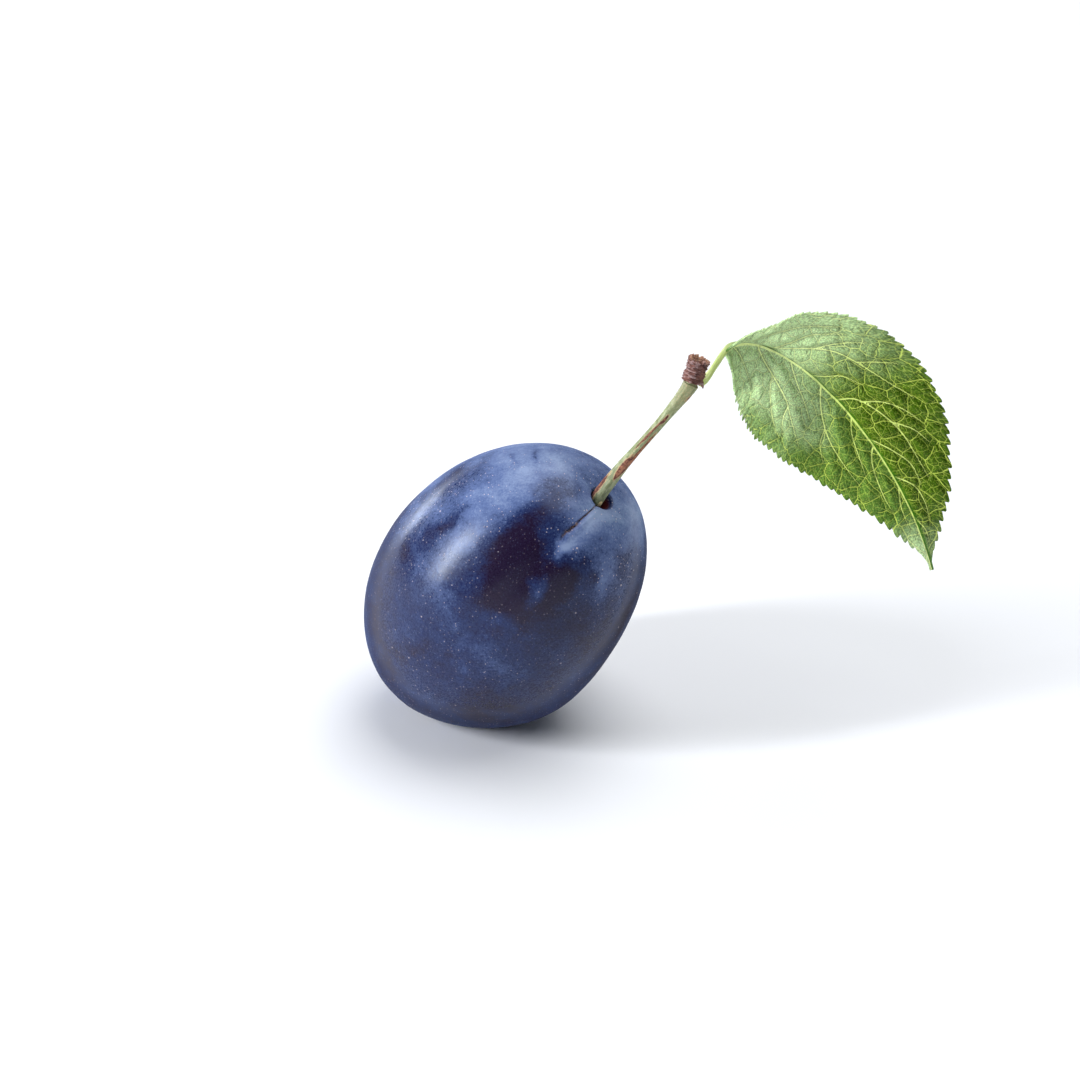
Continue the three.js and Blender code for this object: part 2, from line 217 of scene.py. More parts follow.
def lay(piece: Piece, places: Points) -> None:
    """Moves every corner of a mesh to its new place."""
    piece.data.vertices.foreach_set("co", np.ascontiguousarray(places, float).ravel())
    piece.data.update()


def mark(piece: Piece, numbers: dict[str, Points]) -> None:
    """Stores numbers, or places, on each corner for the finish to read.

    Args:
        piece: The piece.
        numbers: What is stored under each name, one row for each corner.
    """
    for name, rows in numbers.items():
        kind, key = ("FLOAT", "value") if np.ndim(rows) == 1 else ("FLOAT_VECTOR", "vector")
        layer = piece.data.attributes.new(name, kind, "POINT")
        layer.data.foreach_set(key, np.ascontiguousarray(rows, np.float32).ravel())


def alone(*pieces: Piece) -> None:
    """Leaves only these pieces selected, and the first of them active."""
    bpy.ops.object.select_all(action="DESELECT")
    for piece in pieces:
        piece.select_set(True)
    bpy.context.view_layer.objects.active = pieces[0]


def added(operator: Callable[..., set], name: str, **settings: object) -> Piece:
    """Adds a primitive by its operator and names it.

    Args:
        operator: The operator that adds it.
        name: The piece's name.
        **settings: What the operator is told.

    Returns:
        The new piece, alone in the selection.
    """
    bpy.ops.object.select_all(action="DESELECT")
    operator(**settings)
    piece = bpy.context.active_object
    piece.name = piece.data.name = name
    return piece


def spun(name: str, section: Rows, around: int) -> Piece:
    """Spins half a section round the upright axis.

    A ring of corners is cut open, laid along the section and spun in a full turn.

    Args:
        name: The piece's name.
        section: Distances from the axis and heights, from the axis to the axis, so that the
            surface is closed.
        around: The number of steps in a full turn.

    Returns:
        The closed piece, with its faces outwards.
    """
    doubles = 1e-4
    half = np.asarray(section, float)
    count = len(half)
    piece = added(
        bpy.ops.mesh.primitive_circle_add, name, vertices=count, radius=1.0, fill_type="NOTHING"
    )
    bpy.ops.object.mode_set(mode="EDIT")
    bpy.ops.mesh.select_mode(type="EDGE")
    bpy.ops.mesh.select_all(action="DESELECT")
    bpy.ops.object.mode_set(mode="OBJECT")
    for edge in piece.data.edges:
        edge.select = abs(edge.vertices[0] - edge.vertices[1]) == count - 1
    bpy.ops.object.mode_set(mode="EDIT")
    bpy.ops.mesh.delete(type="EDGE")
    bpy.ops.object.mode_set(mode="OBJECT")
    lay(piece, np.column_stack([half[:, 0], np.zeros(count), half[:, 1]]))
    bpy.ops.object.mode_set(mode="EDIT")
    bpy.ops.mesh.select_all(action="SELECT")
    bpy.ops.mesh.spin(steps=around, angle=2 * math.pi, center=(0, 0, 0), axis=(0, 0, 1))
    bpy.ops.mesh.select_all(action="SELECT")
    bpy.ops.mesh.remove_doubles(threshold=doubles)
    bpy.ops.mesh.normals_make_consistent(inside=False)
    bpy.ops.object.mode_set(mode="OBJECT")
    return piece


def smooth(piece: Piece, crease: float = 0.0) -> None:
    """Smooths a piece's shading.

    Args:
        piece: The piece.
        crease: Edges sharper than this many degrees stay crisp; none does at 0.
    """
    alone(piece)
    bpy.ops.object.shade_smooth()
    if crease:
        bpy.ops.object.shade_smooth_by_angle(angle=math.radians(crease))


def finish_shape(piece: Piece, places: Points, crease: float = 0.0) -> None:
    """Lays a piece at its final place, given in millimetres, and smooths its shading."""
    lay(piece, np.asarray(places) * MM)
    smooth(piece, crease)


# ---- Finishes ----


class Recipe:
    """A material's node tree, written one ingredient at a time. Sizes are in millimetres."""

    def __init__(self, name: str) -> None:
        """Starts a material with its shader.

        Args:
            name: The material's name.
        """
        self.material = bpy.data.materials.new(name)
        self.material.use_nodes = True
        self.tree = self.material.node_tree
        self.shader = self.tree.nodes["Principled BSDF"]

    @cached_property
    def place(self) -> Socket:
        """The piece's own coordinates."""
        own = self.tree.nodes.new("ShaderNodeTexCoord").outputs["Object"]
        return self.stretched(own, (1 / MM, 1 / MM, 1 / MM))

    def feed(self, socket: Socket, value: Feed) -> None:
        """Links a socket to another one, or sets it to a constant.

        Args:
            socket: The input.
            value: The output that feeds it, or its number, colour or place.
        """
        if isinstance(value, Socket):
            self.tree.links.new(value, socket)
        elif isinstance(value, (int, float)):
            socket.default_value = value
        else:
            socket.default_value = (*value, 1.0) if len(socket.default_value) == 4 else value

    def add(self, kind: str, feeds: dict[Union[int, str], Feed], **settings: object) -> bpy.types.Node:
        """Adds a node.

        Args:
            kind: The node's type.
            feeds: What goes into each of its inputs.
            **settings: Its own settings.

        Returns:
            The node.
        """
        node = self.tree.nodes.new(kind)
        for name, value in settings.items():
            setattr(node, name, value)
        for key, value in feeds.items():
            self.feed(node.inputs[key], value)
        return node

    def vector(self, how: str, a: Feed, b: Feed) -> Socket:
        """Two places put together by an operation."""
        return self.add("ShaderNodeVectorMath", {0: a, 1: b}, operation=how).outputs[0]

    def stretched(self, place: Feed, by: Sequence[float]) -> Socket:
        """Coordinates multiplied along each direction."""
        return self.vector("MULTIPLY", place, by)

    def number(self, name: str) -> Socket:
        """A number that is stored on the mesh."""
        return self.add("ShaderNodeAttribute", {}, attribute_name=name).outputs["Fac"]

    def stored(self, name: str) -> Socket:
        """A place that is stored on the mesh."""
        return self.add("ShaderNodeAttribute", {}, attribute_name=name).outputs["Vector"]

    def grain(
        self, size: float, detail: float = 3.0, rough: float = 0.55,
        place: Union[Socket, None] = None, twist: float = 0.0,
    ) -> Socket:
        """Cloudy noise.

        Args:
            size: How wide its blotches are.
            detail: How many finer layers it has.
            rough: How strong the finer layers are.
            place: The coordinates that it follows; the piece's own if left out.
            twist: How much it is distorted.

        Returns:
            A value from 0 to 1, mostly about 0.5.
        """
        feeds = {"Vector": place or self.place, "Scale": 1 / size, "Detail": detail,
                 "Roughness": rough, "Distortion": twist}
        return self.add("ShaderNodeTexNoise", feeds).outputs["Fac"]

    def cells(
        self, size: float, feature: str = "F1", place: Union[Socket, None] = None, level: bool = False
    ) -> bpy.types.Node:
        """A pattern of cells, with the distance to each one's middle or edge.

        Args:
            size: How wide a cell is.
            feature: What the distance is measured to.
            place: The coordinates that it follows; the piece's own if left out.
            level: Whether the cells lie in a plane.

        Returns:
            The node, whose distances are shares of the size.
        """
        feeds = {"Vector": place or self.place, "Scale": 1 / size}
        dimensions = "2D" if level else "3D"
        return self.add("ShaderNodeTexVoronoi", feeds, feature=feature, voronoi_dimensions=dimensions)

    def bent(self, place: Socket, size: float, by: float) -> Socket:
        """Coordinates that wander.

        Args:
            place: The coordinates.
            size: How wide the blotches are that wander together.
            by: The most that a place is moved along each direction.

        Returns:
            The wandering coordinates.
        """
        drift = self.add("ShaderNodeTexNoise", {"Vector": place, "Scale": 1 / size, "Detail": 2.0})
        centred = self.vector("SUBTRACT", drift.outputs["Color"], (0.5, 0.5, 0.5))
        return self.vector("ADD", self.stretched(centred, (2 * by, 2 * by, 2 * by)), place)

    def combined(self, how: str, a: Feed, b: Feed) -> Socket:
        """Two numbers put together by an operation."""
        return self.add("ShaderNodeMath", {0: a, 1: b}, operation=how).outputs[0]

    def sum(self, a: Feed, b: Feed) -> Socket:
        """Two numbers added."""
        return self.combined("ADD", a, b)

    def times(self, a: Feed, b: Feed) -> Socket:
        """Two numbers multiplied."""
        return self.combined("MULTIPLY", a, b)

    def swing(self, value: Feed, weight: float) -> Socket:
        """A value from 0 to 1 turned into one that swings round 0, by a weight."""
        return self.times(self.combined("SUBTRACT", value, 0.5), weight)

    def between(
        self, value: Feed, low: float, high: float, first: float = 0.0, last: float = 1.0
    ) -> Socket:
        """A smooth step: first below low, last above high."""
        feeds = {"Value": value, "From Min": low, "From Max": high, "To Min": first, "To Max": last}
        return self.add("ShaderNodeMapRange", feeds, interpolation_type="SMOOTHSTEP").outputs[0]

    def mix(self, share: Feed, a: Feed, b: Feed, how: str = "MIX") -> Socket:
        """Mixes two colours.

        Args:
            share: How much of the second there is.
            a: The first colour.
            b: The second colour.
            how: The way in which they are blended.

        Returns:
            The mixed colour.
        """
        node = self.add("ShaderNodeMix", {}, data_type="RGBA", blend_type=how)
        for index, value in ((0, share), (6, a), (7, b)):
            self.feed(node.inputs[index], value)
        return node.outputs[2]

    def shaded(self, colour: Feed, by: Feed) -> Socket:
        """A colour multiplied by a shade."""
        return self.mix(1.0, colour, by, "MULTIPLY")

    def relief(self, height: Feed, depth: float, under: Union[Socket, None] = None) -> Socket:
        """Low relief.

        Args:
            height: Its shape, from 0 to 1.
            depth: How high 1 stands.
            under: Another relief that it lies on.

        Returns:
            The direction that the relieved surface looks.
        """
        feeds: dict[Union[int, str], Feed] = {"Height": height, "Distance": depth * MM}
        if under is not None:
            feeds["Normal"] = under
        return self.add("ShaderNodeBump", feeds).outputs[0]

    def served(self, **sockets: Feed) -> bpy.types.Material:
        """The finished material.

        Args:
            **sockets: What the shader's inputs get, by their names with _ for a space.

        Returns:
            The material.
        """
        for name, value in sockets.items():
            self.feed(self.shader.inputs[name.replace("_", " ")], value)
        return self.material


@dataclass(frozen=True)
class Pores:
    """Pale dots strewn over a skin.

    A dot could be at every spacing. It is solid out to its core, a share of the spacing, and has
    faded at its edge. The rarity is the share of the places that stay without one.
    """

    spacing: float
    core: float
    edge: float
    rarity: float

    def strewn(self, mix: Recipe) -> Socket:
        """Strews the pores.

        Args:
            mix: The recipe that they go into.

        Returns:
            1 in a pore and 0 outside.
        """
        dots = mix.cells(self.spacing)
        luck = mix.add("ShaderNodeSeparateColor", {0: dots.outputs["Color"]}).outputs[0]
        chosen = mix.between(luck, self.rarity, self.rarity + 0.05)
        return mix.times(mix.between(dots.outputs["Distance"], self.core, self.edge, 1, 0), chosen)


@dataclass(frozen=True)
class BloomedSkin:
    """Dark purple skin under a powdery blue bloom, which handling has rubbed away in places.

    The cover is how thick the bloom lies; it carries painted light and shade too, being made
    thicker on the upper side and thinner on the sides and underside. Three grains break it up,
    each by the width of its blotches and its weight. The other pairs are the covers between which
    a colour or a kind of dot comes in, and the slopes between which the rim goes rough.
    """

    rubbed: Colour = (0.012, 0.005, 0.024)
    reddish: Colour = (0.014, 0.005, 0.022)
    thin_bloom: Colour = (0.014, 0.027, 0.100)
    bloom: Colour = (0.100, 0.148, 0.315)
    thick_bloom: Colour = (0.225, 0.295, 0.475)
    speck: Colour = (0.62, 0.52, 0.56)
    hollow: Colour = (0.115, 0.020, 0.020)
    scar: Colour = (0.24, 0.13, 0.075)
    crack: Colour = (0.020, 0.009, 0.009)
    ragged: Pair = (1.5, 0.42)
    powder: Pair = (0.32, 0.60)
    brushed: Pair = (0.9, 0.50)
    brushed_along: Place = (0.55, 1.0, 1.35)
    covered: Pair = (-0.30, 0.48)
    blue: Pair = (0.30, 0.95)
    pale: Pair = (0.80, 1.35)
    dust: Pores = Pores(0.36, 0.12, 0.34, 0.50)
    dusty: Pair = (-0.1, 0.7)
    pores: Pores = Pores(0.55, 0.13, 0.21, 0.50)
    crowded: Pair = (0.0, 0.5)
    flecks: Pores = Pores(2.3, 0.05, 0.08, 0.62)
    flecked: Pair = (-0.2, 0.4)
    pore_strength: float = 0.8
    pore_height: float = 0.03
    rim_slopes: Pair = (0.52, 0.82)
    rim_roughness: float = 0.60

    def material(self) -> bpy.types.Material:
        """The finish, which reads the skin's bloom, hollow and crack numbers.

        Returns:
            The material.
        """
        mix = Recipe("plum_skin")
        brushing = mix.stretched(mix.place, self.brushed_along)
        powder = mix.grain(self.powder[0], 2, 0.6)
        cover = mix.number("bloom")
        for layer, weight in (
            (mix.grain(self.ragged[0], 7, 0.68, twist=0.6), self.ragged[1]),
            (powder, self.powder[1]),
            (mix.grain(self.brushed[0], 5, 0.7, place=brushing), self.brushed[1]),
        ):
            cover = mix.sum(cover, mix.swing(layer, weight))
        bare = mix.mix(mix.between(mix.grain(4.0), 0.5, 0.75), self.rubbed, self.reddish)
        coat = mix.mix(mix.between(cover, *self.blue), self.thin_bloom, self.bloom)
        coat = mix.mix(mix.between(cover, *self.pale), coat, self.thick_bloom)
        colour = mix.mix(mix.between(cover, *self.covered), bare, coat)
        dust = mix.times(self.dust.strewn(mix), mix.between(cover, *self.dusty, 0.12, 0.45))
        colour = mix.mix(dust, colour, self.thick_bloom)
        dot = self.dots(mix, cover)
        colour = mix.mix(mix.times(dot, self.pore_strength), colour, self.speck)
        colour = mix.mix(mix.number("hollow"), colour, self.hollow)
        crumbs = mix.mix(mix.between(mix.grain(0.35, 4), 0.46, 0.56), self.crack, self.scar)
        colour = mix.mix(mix.number("crack"), colour, crumbs)
        skin = mix.relief(mix.grain(0.16, 2, 0.5), 0.006)
        skin = mix.relief(mix.grain(1.1, 4, 0.5), 0.02, skin)
        return mix.served(
            Base_Color=colour, Roughness=self.roughness(mix, cover, powder),
            Normal=mix.relief(dot, self.pore_height, skin), IOR=1.38,
            Specular_Tint=(0.84, 0.91, 1.0), Sheen_Weight=0.04, Sheen_Roughness=0.4,
            Sheen_Tint=(0.72, 0.84, 1.0),
        )

    def dots(self, mix: Recipe, cover: Socket) -> Socket:
        """The skin's pores, in crowds, and its larger flecks.

        Args:
            mix: The recipe that they go into.
            cover: How thick the bloom lies.

        Returns:
            How plain a dot is at each place.
        """
        crowd = mix.between(mix.grain(6.0), 0.34, 0.62, 0.30, 1.0)
        crowd = mix.times(crowd, mix.between(cover, *self.crowded, 0.35, 1.0))
        small = mix.times(self.pores.strewn(mix), crowd)
        large = mix.times(self.flecks.strewn(mix), mix.between(cover, *self.flecked, 0.4, 1.0))
        return mix.combined("MAXIMUM", small, large)

    def roughness(self, mix: Recipe, cover: Socket, powder: Socket) -> Socket:
        """How matt the skin is: more under bloom, and most where it is seen aslant.

        Args:
            mix: The recipe that it goes into.
            cover: How thick the bloom lies.
            powder: The bloom's finest grain.

        Returns:
            The roughness.
        """
        slope = mix.add("ShaderNodeLayerWeight", {"Blend": 0.5}).outputs["Facing"]
        matt = mix.sum(mix.between(cover, 0.1, 0.9, 0.27, 0.30), mix.between(powder, 0.3, 0.7, -0.02, 0.04))
        return mix.sum(matt, mix.between(slope, *self.rim_slopes, 0.0, self.rim_roughness))


@dataclass(frozen=True)
class StalkBark:
    """Pale olive green bark, ribbed lengthwise, with red-brown cork where it has been chafed."""

    green: Colour = (0.30, 0.34, 0.155)
    pale_green: Colour = (0.42, 0.46, 0.26)
    dull_green: Colour = (0.205, 0.235, 0.10)
    cork: Colour = (0.46, 0.20, 0.11)
    dark_cork: Colour = (0.12, 0.038, 0.030)
    tan: Colour = (0.60, 0.39, 0.20)
    torn: Colour = (0.88, 0.70, 0.36)
    line_width: float = 0.28
    line_run: float = 0.12
    mottle_size: float = 0.45
    freckle_size: float = 0.16
    flare_dulled: float = 0.40
    flare_freckled: float = 0.7
    painted_shade_heights: Pair = (2.0, 11.0)
    painted_shade_at_foot: float = 0.55

    def material(self) -> bpy.types.Material:
        """The finish, which reads the stalk's cork, foot, flare and torn numbers.

        Returns:
            The material.
        """
        mix = Recipe("stalk_bark")
        rod = mix.stored("straight")
        lines = mix.grain(self.line_width, 4, 0.6, place=mix.stretched(rod, (1.0, 1.0, self.line_run)))
        mottle = mix.grain(self.mottle_size, 5, 0.70, place=mix.stretched(rod, (1.0, 1.0, 0.5)))
        colour = mix.mix(mix.between(lines, 0.36, 0.66), self.dull_green, self.green)
        colour = mix.mix(mix.between(mottle, 0.40, 0.62), colour, self.pale_green)
        flare = mix.number("flare")
        colour = mix.mix(mix.times(flare, self.flare_dulled), colour, self.dull_green)
        freckle = mix.grain(self.freckle_size, 3, 0.6, place=mix.stretched(rod, (1.0, 1.0, 1.7)))
        freckled = mix.times(mix.between(freckle, 0.52, 0.62), flare)
        colour = mix.mix(mix.times(freckled, self.flare_freckled), colour, self.tan)
        # Painted shade: the green darkens towards the foot, down in the fruit's hollow
        low = mix.add("ShaderNodeSeparateXYZ", {0: rod}).outputs[2]
        colour = mix.shaded(colour, mix.between(low, *self.painted_shade_heights, self.painted_shade_at_foot, 1.0))
        edge = mix.sum(mix.number("cork"), mix.swing(mottle, 1.1))
        edge = mix.sum(edge, mix.swing(lines, 0.7))
        patchy = mix.sum(mix.grain(0.42, 4, 0.6, place=rod), mix.times(edge, 0.30))
        cork = mix.mix(mix.between(patchy, 0.64, 0.98), self.dark_cork, self.cork)
        colour = mix.mix(mix.between(edge, 0.26, 0.40, 0.0, 0.75), colour, self.tan)
        colour = mix.mix(mix.between(edge, 0.40, 0.58), colour, cork)
        colour = mix.mix(mix.number("foot"), colour, self.tan)
        colour = mix.mix(mix.between(mix.number("torn"), 0.35, 0.6), colour, self.torn)
        bark = mix.relief(lines, 0.05)
        bark = mix.relief(mix.grain(0.14, 3, 0.6, place=rod), 0.03, bark)
        return mix.served(
            Base_Color=colour, Normal=bark, IOR=1.45,
            Roughness=mix.between(edge, 0.3, 0.6, 0.52, 0.78),
        )


@dataclass(frozen=True)
class SpurBark:
    """Rough reddish-brown bark in layered rings, torn open at the top."""

    dark: Colour = (0.075, 0.028, 0.026)
    red_brown: Colour = (0.30, 0.13, 0.10)
    proud_grey_and_highlight: Colour = (0.44, 0.30, 0.29)
    tan: Colour = (0.72, 0.44, 0.26)
    layer_size: float = 0.30
    layers_lie: Place = (0.35, 0.35, 1.6)
    flake_size: float = 0.35
    wood_size: float = 0.25

    def material(self) -> bpy.types.Material:
        """The finish, which reads how far each place stands out and whether it is torn wood.

        Returns:
            The material.
        """
        mix = Recipe("spur_bark")
        lying = mix.stretched(mix.stored("straight"), self.layers_lie)
        layers = mix.grain(self.layer_size, 5, 0.7, place=lying)
        flakes = mix.grain(self.flake_size, 5, 0.7)
        colour = mix.mix(mix.between(layers, 0.38, 0.60), self.dark, self.red_brown)
        proud = mix.sum(mix.number("proud"), mix.swing(flakes, 1.2))
        # Partly weathered grey bark and partly a painted highlight: what stands out is paled grey
        colour = mix.mix(mix.between(proud, 0.55, 1.05, 0.0, 0.8), colour, self.proud_grey_and_highlight)
        wood = mix.between(mix.grain(self.wood_size, 4, 0.7), 0.42, 0.62)
        colour = mix.mix(mix.number("torn"), colour, mix.mix(wood, self.red_brown, self.tan))
        bark = mix.relief(layers, 0.12)
        bark = mix.relief(mix.grain(0.12, 4, 0.7), 0.05, bark)
        roughness = mix.between(flakes, 0.3, 0.7, 0.72, 0.95)
        return mix.served(Base_Color=colour, Normal=bark, Roughness=roughness)


@dataclass(frozen=True)
class TornFibre:
    """The pale brown strands left where the spur broke off."""

    pale: Colour = (0.66, 0.47, 0.32)
    dark: Colour = (0.20, 0.085, 0.055)

    def material(self) -> bpy.types.Material:
        """The finish.

        Returns:
            The material.
        """
        mix = Recipe("torn_fibre")
        shade = mix.grain(0.6, 4, 0.6)
        return mix.served(
            Base_Color=mix.mix(mix.between(shade, 0.40, 0.60), self.dark, self.pale),
            Roughness=mix.between(shade, 0.3, 0.7, 0.7, 0.9), Normal=mix.relief(mix.grain(0.08), 0.02),
        )


@dataclass(frozen=True)
class VeinNet:
    """A net of fine veins, by the width of its meshes and how its lines are drawn.

    A line is solid out to its half width, has faded at its fade, and covers by its strength.
    """

    mesh: float
    half_width: float
    fade: float
    strength: float

    def distance(self, mix: Recipe, flat: Socket) -> Socket:
        """The distance to the net's nearest line.

        Args:
            mix: The recipe that it goes into.
            flat: The blade's flat place.

        Returns:
            The distance in millimetres.
        """
        places = mix.bent(flat, 0.85 * self.mesh, 0.18 * self.mesh)
        share = mix.cells(self.mesh, "DISTANCE_TO_EDGE", places, True).outputs["Distance"]
        return mix.times(share, self.mesh)

    def seen(self, mix: Recipe, distance: Socket) -> Socket:
        """How plain the net's line is at a distance from it."""
        return mix.between(distance, self.half_width, self.fade, self.strength, 0)


@dataclass(frozen=True)
class LeafGreen:
    """A leaf's skin, whose colour follows its veins.

    The upper side is green with impressed pale veins; the underside is greyer. Light and shade
    are painted into both: a shaded and a backlit copy of one green, a pale sheen where light
    would be reflected, and painted shade beside the veins, between the pebbles and in a strip
    beside the midrib. A pair is two values between which something sets in: distances from a
    vein, or amounts of painted sheen. A vein's painted shade is how far it reaches and how dark
    it is at the vein.
    """

    name: str
    shaded: Colour
    painted_backlit_green: Colour
    painted_sheen_green: Colour
    vein: Colour
    rib: Colour
    painted_groove_shadow: Colour
    gloss: float
    hairs: VeinNet = VeinNet(0.55, 0.01, 0.05, 0.38)
    meshes: VeinNet = VeinNet(1.25, 0.01, 0.05, 0.50)
    loops: VeinNet = VeinNet(2.9, 0.015, 0.075, 0.88)
    pebble_size: float = 0.30
    pebble_painted_shades: Pair = (1.16, 0.68)
    speckle_size: float = 0.16
    painted_sheen_steps: Pair = (0.1, 0.8)
    vein_painted_sheen_steps: Pair = (0.1, 0.7)
    loop_painted_shade: Pair = (0.35, 0.76)
    branch_painted_shade: Pair = (0.60, 0.62)
    branch_line: Pair = (0.08, 0.19)
    branch_near: Pair = (0.2, 0.3)
    rib_line: Pair = (-0.04, 0.04)
    groove: Pair = (0.05, 0.65)

    def material(self) -> bpy.types.Material:
        """The finish, which reads the blade's flat place, its veins, and where backlight and sheen are
        painted.

        Returns:
            The material.
        """
        mix = Recipe(self.name)
        flat = mix.stored("flat")
        hairs, meshes, loops = (net.distance(mix, flat) for net in (self.hairs, self.meshes, self.loops))
        places = mix.bent(flat, 0.4, 0.08)
        pebble = mix.cells(self.pebble_size, place=places, level=True).outputs["Distance"]
        speckle = mix.grain(self.speckle_size, 2, 0.6, place=flat)
        cloudy = mix.swing(mix.grain(4.0, 4, 0.6, place=flat), 0.7)
        # Painted light: a bright yellow-green where light would shine through the blade, over a random
        # cloudy tone
        backlight_tone = mix.sum(mix.number("painted_backlight"), cloudy)
        # Painted sheen: the blade is made paler where light would be reflected, mostly near the base and on
        # the left half
        painted_sheen = mix.sum(mix.sum(mix.number("painted_sheen"), mix.times(cloudy, 0.6)), mix.swing(speckle, 0.25))
        plain = mix.between(painted_sheen, *self.painted_sheen_steps, 1.0, 0.8)
        branch, rib = mix.number("branch"), mix.number("rib")

        # The left half gets the shaded green and the right half the backlit one: lit and shaded copies of
        # one green
        colour = mix.mix(mix.between(backlight_tone, 0.1, 0.9), self.shaded, self.painted_backlit_green)
        colour = mix.mix(mix.between(painted_sheen, 0.0, 0.85, 0.0, 0.95), colour, self.painted_sheen_green)
        # Painted shade and highlight: lighter on the pebbles' domes and darker between them, and darker
        # beside the impressed veins
        colour = mix.shaded(colour, mix.between(pebble, 0.15, 0.60, *self.pebble_painted_shades))
        for lines, (reach, shade) in ((loops, self.loop_painted_shade), (branch, self.branch_painted_shade)):
            colour = mix.shaded(colour, mix.between(lines, 0.1, reach, shade, 1.0))
        colour = mix.mix(mix.between(speckle, 0.56, 0.70, 0.0, 0.22), colour, self.vein)
        vein = mix.mix(mix.between(painted_sheen, *self.vein_painted_sheen_steps), self.vein, self.rib)
        broken = mix.between(mix.grain(0.5, 2, place=flat), 0.42, 0.56)
        colour = mix.mix(mix.times(mix.times(self.hairs.seen(mix, hairs), plain), broken), colour, vein)
        for net, lines in ((self.meshes, meshes), (self.loops, loops)):
            colour = mix.mix(mix.times(net.seen(mix, lines), plain), colour, vein)

        side_vein = mix.mix(mix.between(painted_sheen, *self.vein_painted_sheen_steps, 0.3, 1.0), self.vein, self.rib)
        aside = mix.combined("ABSOLUTE", mix.number("aside"), 0.0)
        line = mix.between(aside, *self.branch_line, 1, 0)
        colour = mix.mix(mix.times(line, mix.between(branch, *self.branch_near, 1, 0)), colour, side_vein)
        # Painted shadow: a dark green strip beside the midrib, where its groove would be shaded
        groove = mix.times(mix.between(rib, *self.groove, 1, 0), mix.between(backlight_tone, 0.4, 0.8, 0, 0.9))
        colour = mix.mix(groove, colour, self.painted_groove_shadow)
        colour = mix.mix(mix.between(rib, *self.rib_line, 1, 0), colour, side_vein)

        calm = mix.between(painted_sheen, *self.painted_sheen_steps, 1.0, 0.9)
        bump = mix.relief(mix.times(mix.between(meshes, 0.0, 0.4), calm), 0.08)
        bump = mix.relief(mix.times(mix.between(loops, 0.0, 0.9), calm), 0.28, bump)
        bump = mix.relief(mix.between(pebble, 0.0, 0.7, 1.0, 0.0), 0.05, bump)
        return mix.served(
            Base_Color=colour, Normal=bump, IOR=1.42, Specular_IOR_Level=0.14,
            Roughness=mix.between(pebble, 0.2, 0.6, self.gloss, self.gloss + 0.12),
        )


@dataclass(frozen=True)
class PetioleGreen:
    """The bright yellow-green of a young petiole, which goes greyer where it runs on as a rib."""

    light: Colour = (0.64, 0.72, 0.31)
    dark: Colour = (0.46, 0.58, 0.16)
    rib: Colour = (0.40, 0.52, 0.22)
    streak_width: float = 0.3
    streak_run: float = 0.1

    def material(self) -> bpy.types.Material:
        """The finish, streaked along the rod, which reads where it runs under the blade.

        Returns:
            The material.
        """
        mix = Recipe("petiole_green")
        run = mix.stretched(mix.stored("straight"), (1.0, 1.0, self.streak_run))
        streak = mix.grain(self.streak_width, 3, 0.6, place=run)
        colour = mix.mix(mix.between(streak, 0.35, 0.65), self.dark, self.light)
        below = mix.times(mix.number("under"), mix.between(streak, 0.3, 0.7, 0.75, 1.0))
        return mix.served(
            Base_Color=mix.mix(below, colour, self.rib), Normal=mix.relief(streak, 0.03),
            Roughness=mix.between(streak, 0.3, 0.7, 0.45, 0.58),
        )


@dataclass(frozen=True)
class TableTop:
    """A plain near-white table."""

    light: Colour = (0.90, 0.91, 0.93)
    soft: Colour = (0.87, 0.88, 0.91)

    def material(self) -> bpy.types.Material:
        """The finish.

        Returns:
            The material.
        """
        mix = Recipe("table_top")
        shade = mix.grain(60.0, 2)
        return mix.served(Base_Color=mix.mix(shade, self.soft, self.light), Roughness=0.85)


# ---- Fruit ----


@dataclass(frozen=True)
class Patch:
    """A place on the skin where the bloom is thicker or rubbed away.

    Its place is the turn from the seam, in degrees, and the height along the axis; it reaches a
    length and a width, turned from the axis, and adds its strength to the bloom.
    """

    turn: float
    height: float
    length: float
    width: float
    strength: float
    slant: float = 0.0
    depth: float = 6.0

    def adds(self, places: Points, half_width: float, half_length: float) -> Points:
        """What the patch adds to the bloom.

        Args:
            places: Places on the upright fruit.
            half_width: The fruit's half width.
            half_length: The fruit's half length.

        Returns:
            The change of the bloom at each place.
        """
        slant, around = math.radians(self.slant), math.radians(self.turn)
        radius = half_width * math.sqrt(1 - (self.height / half_length) ** 2)
        middle = np.array([radius * math.cos(around), radius * math.sin(around), self.height])
        outward = unit(middle / np.array([half_width, half_width, half_length]) ** 2)
        sideways = np.array([-math.sin(around), math.cos(around), 0.0])
        upward = np.cross(outward, sideways)
        along = upward * math.cos(slant) + sideways * math.sin(slant)
        over = sideways * math.cos(slant) - upward * math.sin(slant)
        off = places - middle
        ways = ((along, self.length), (over, self.width), (outward, self.depth))
        return self.strength * np.exp(-sum((off @ way / reach) ** 2 for way, reach in ways))


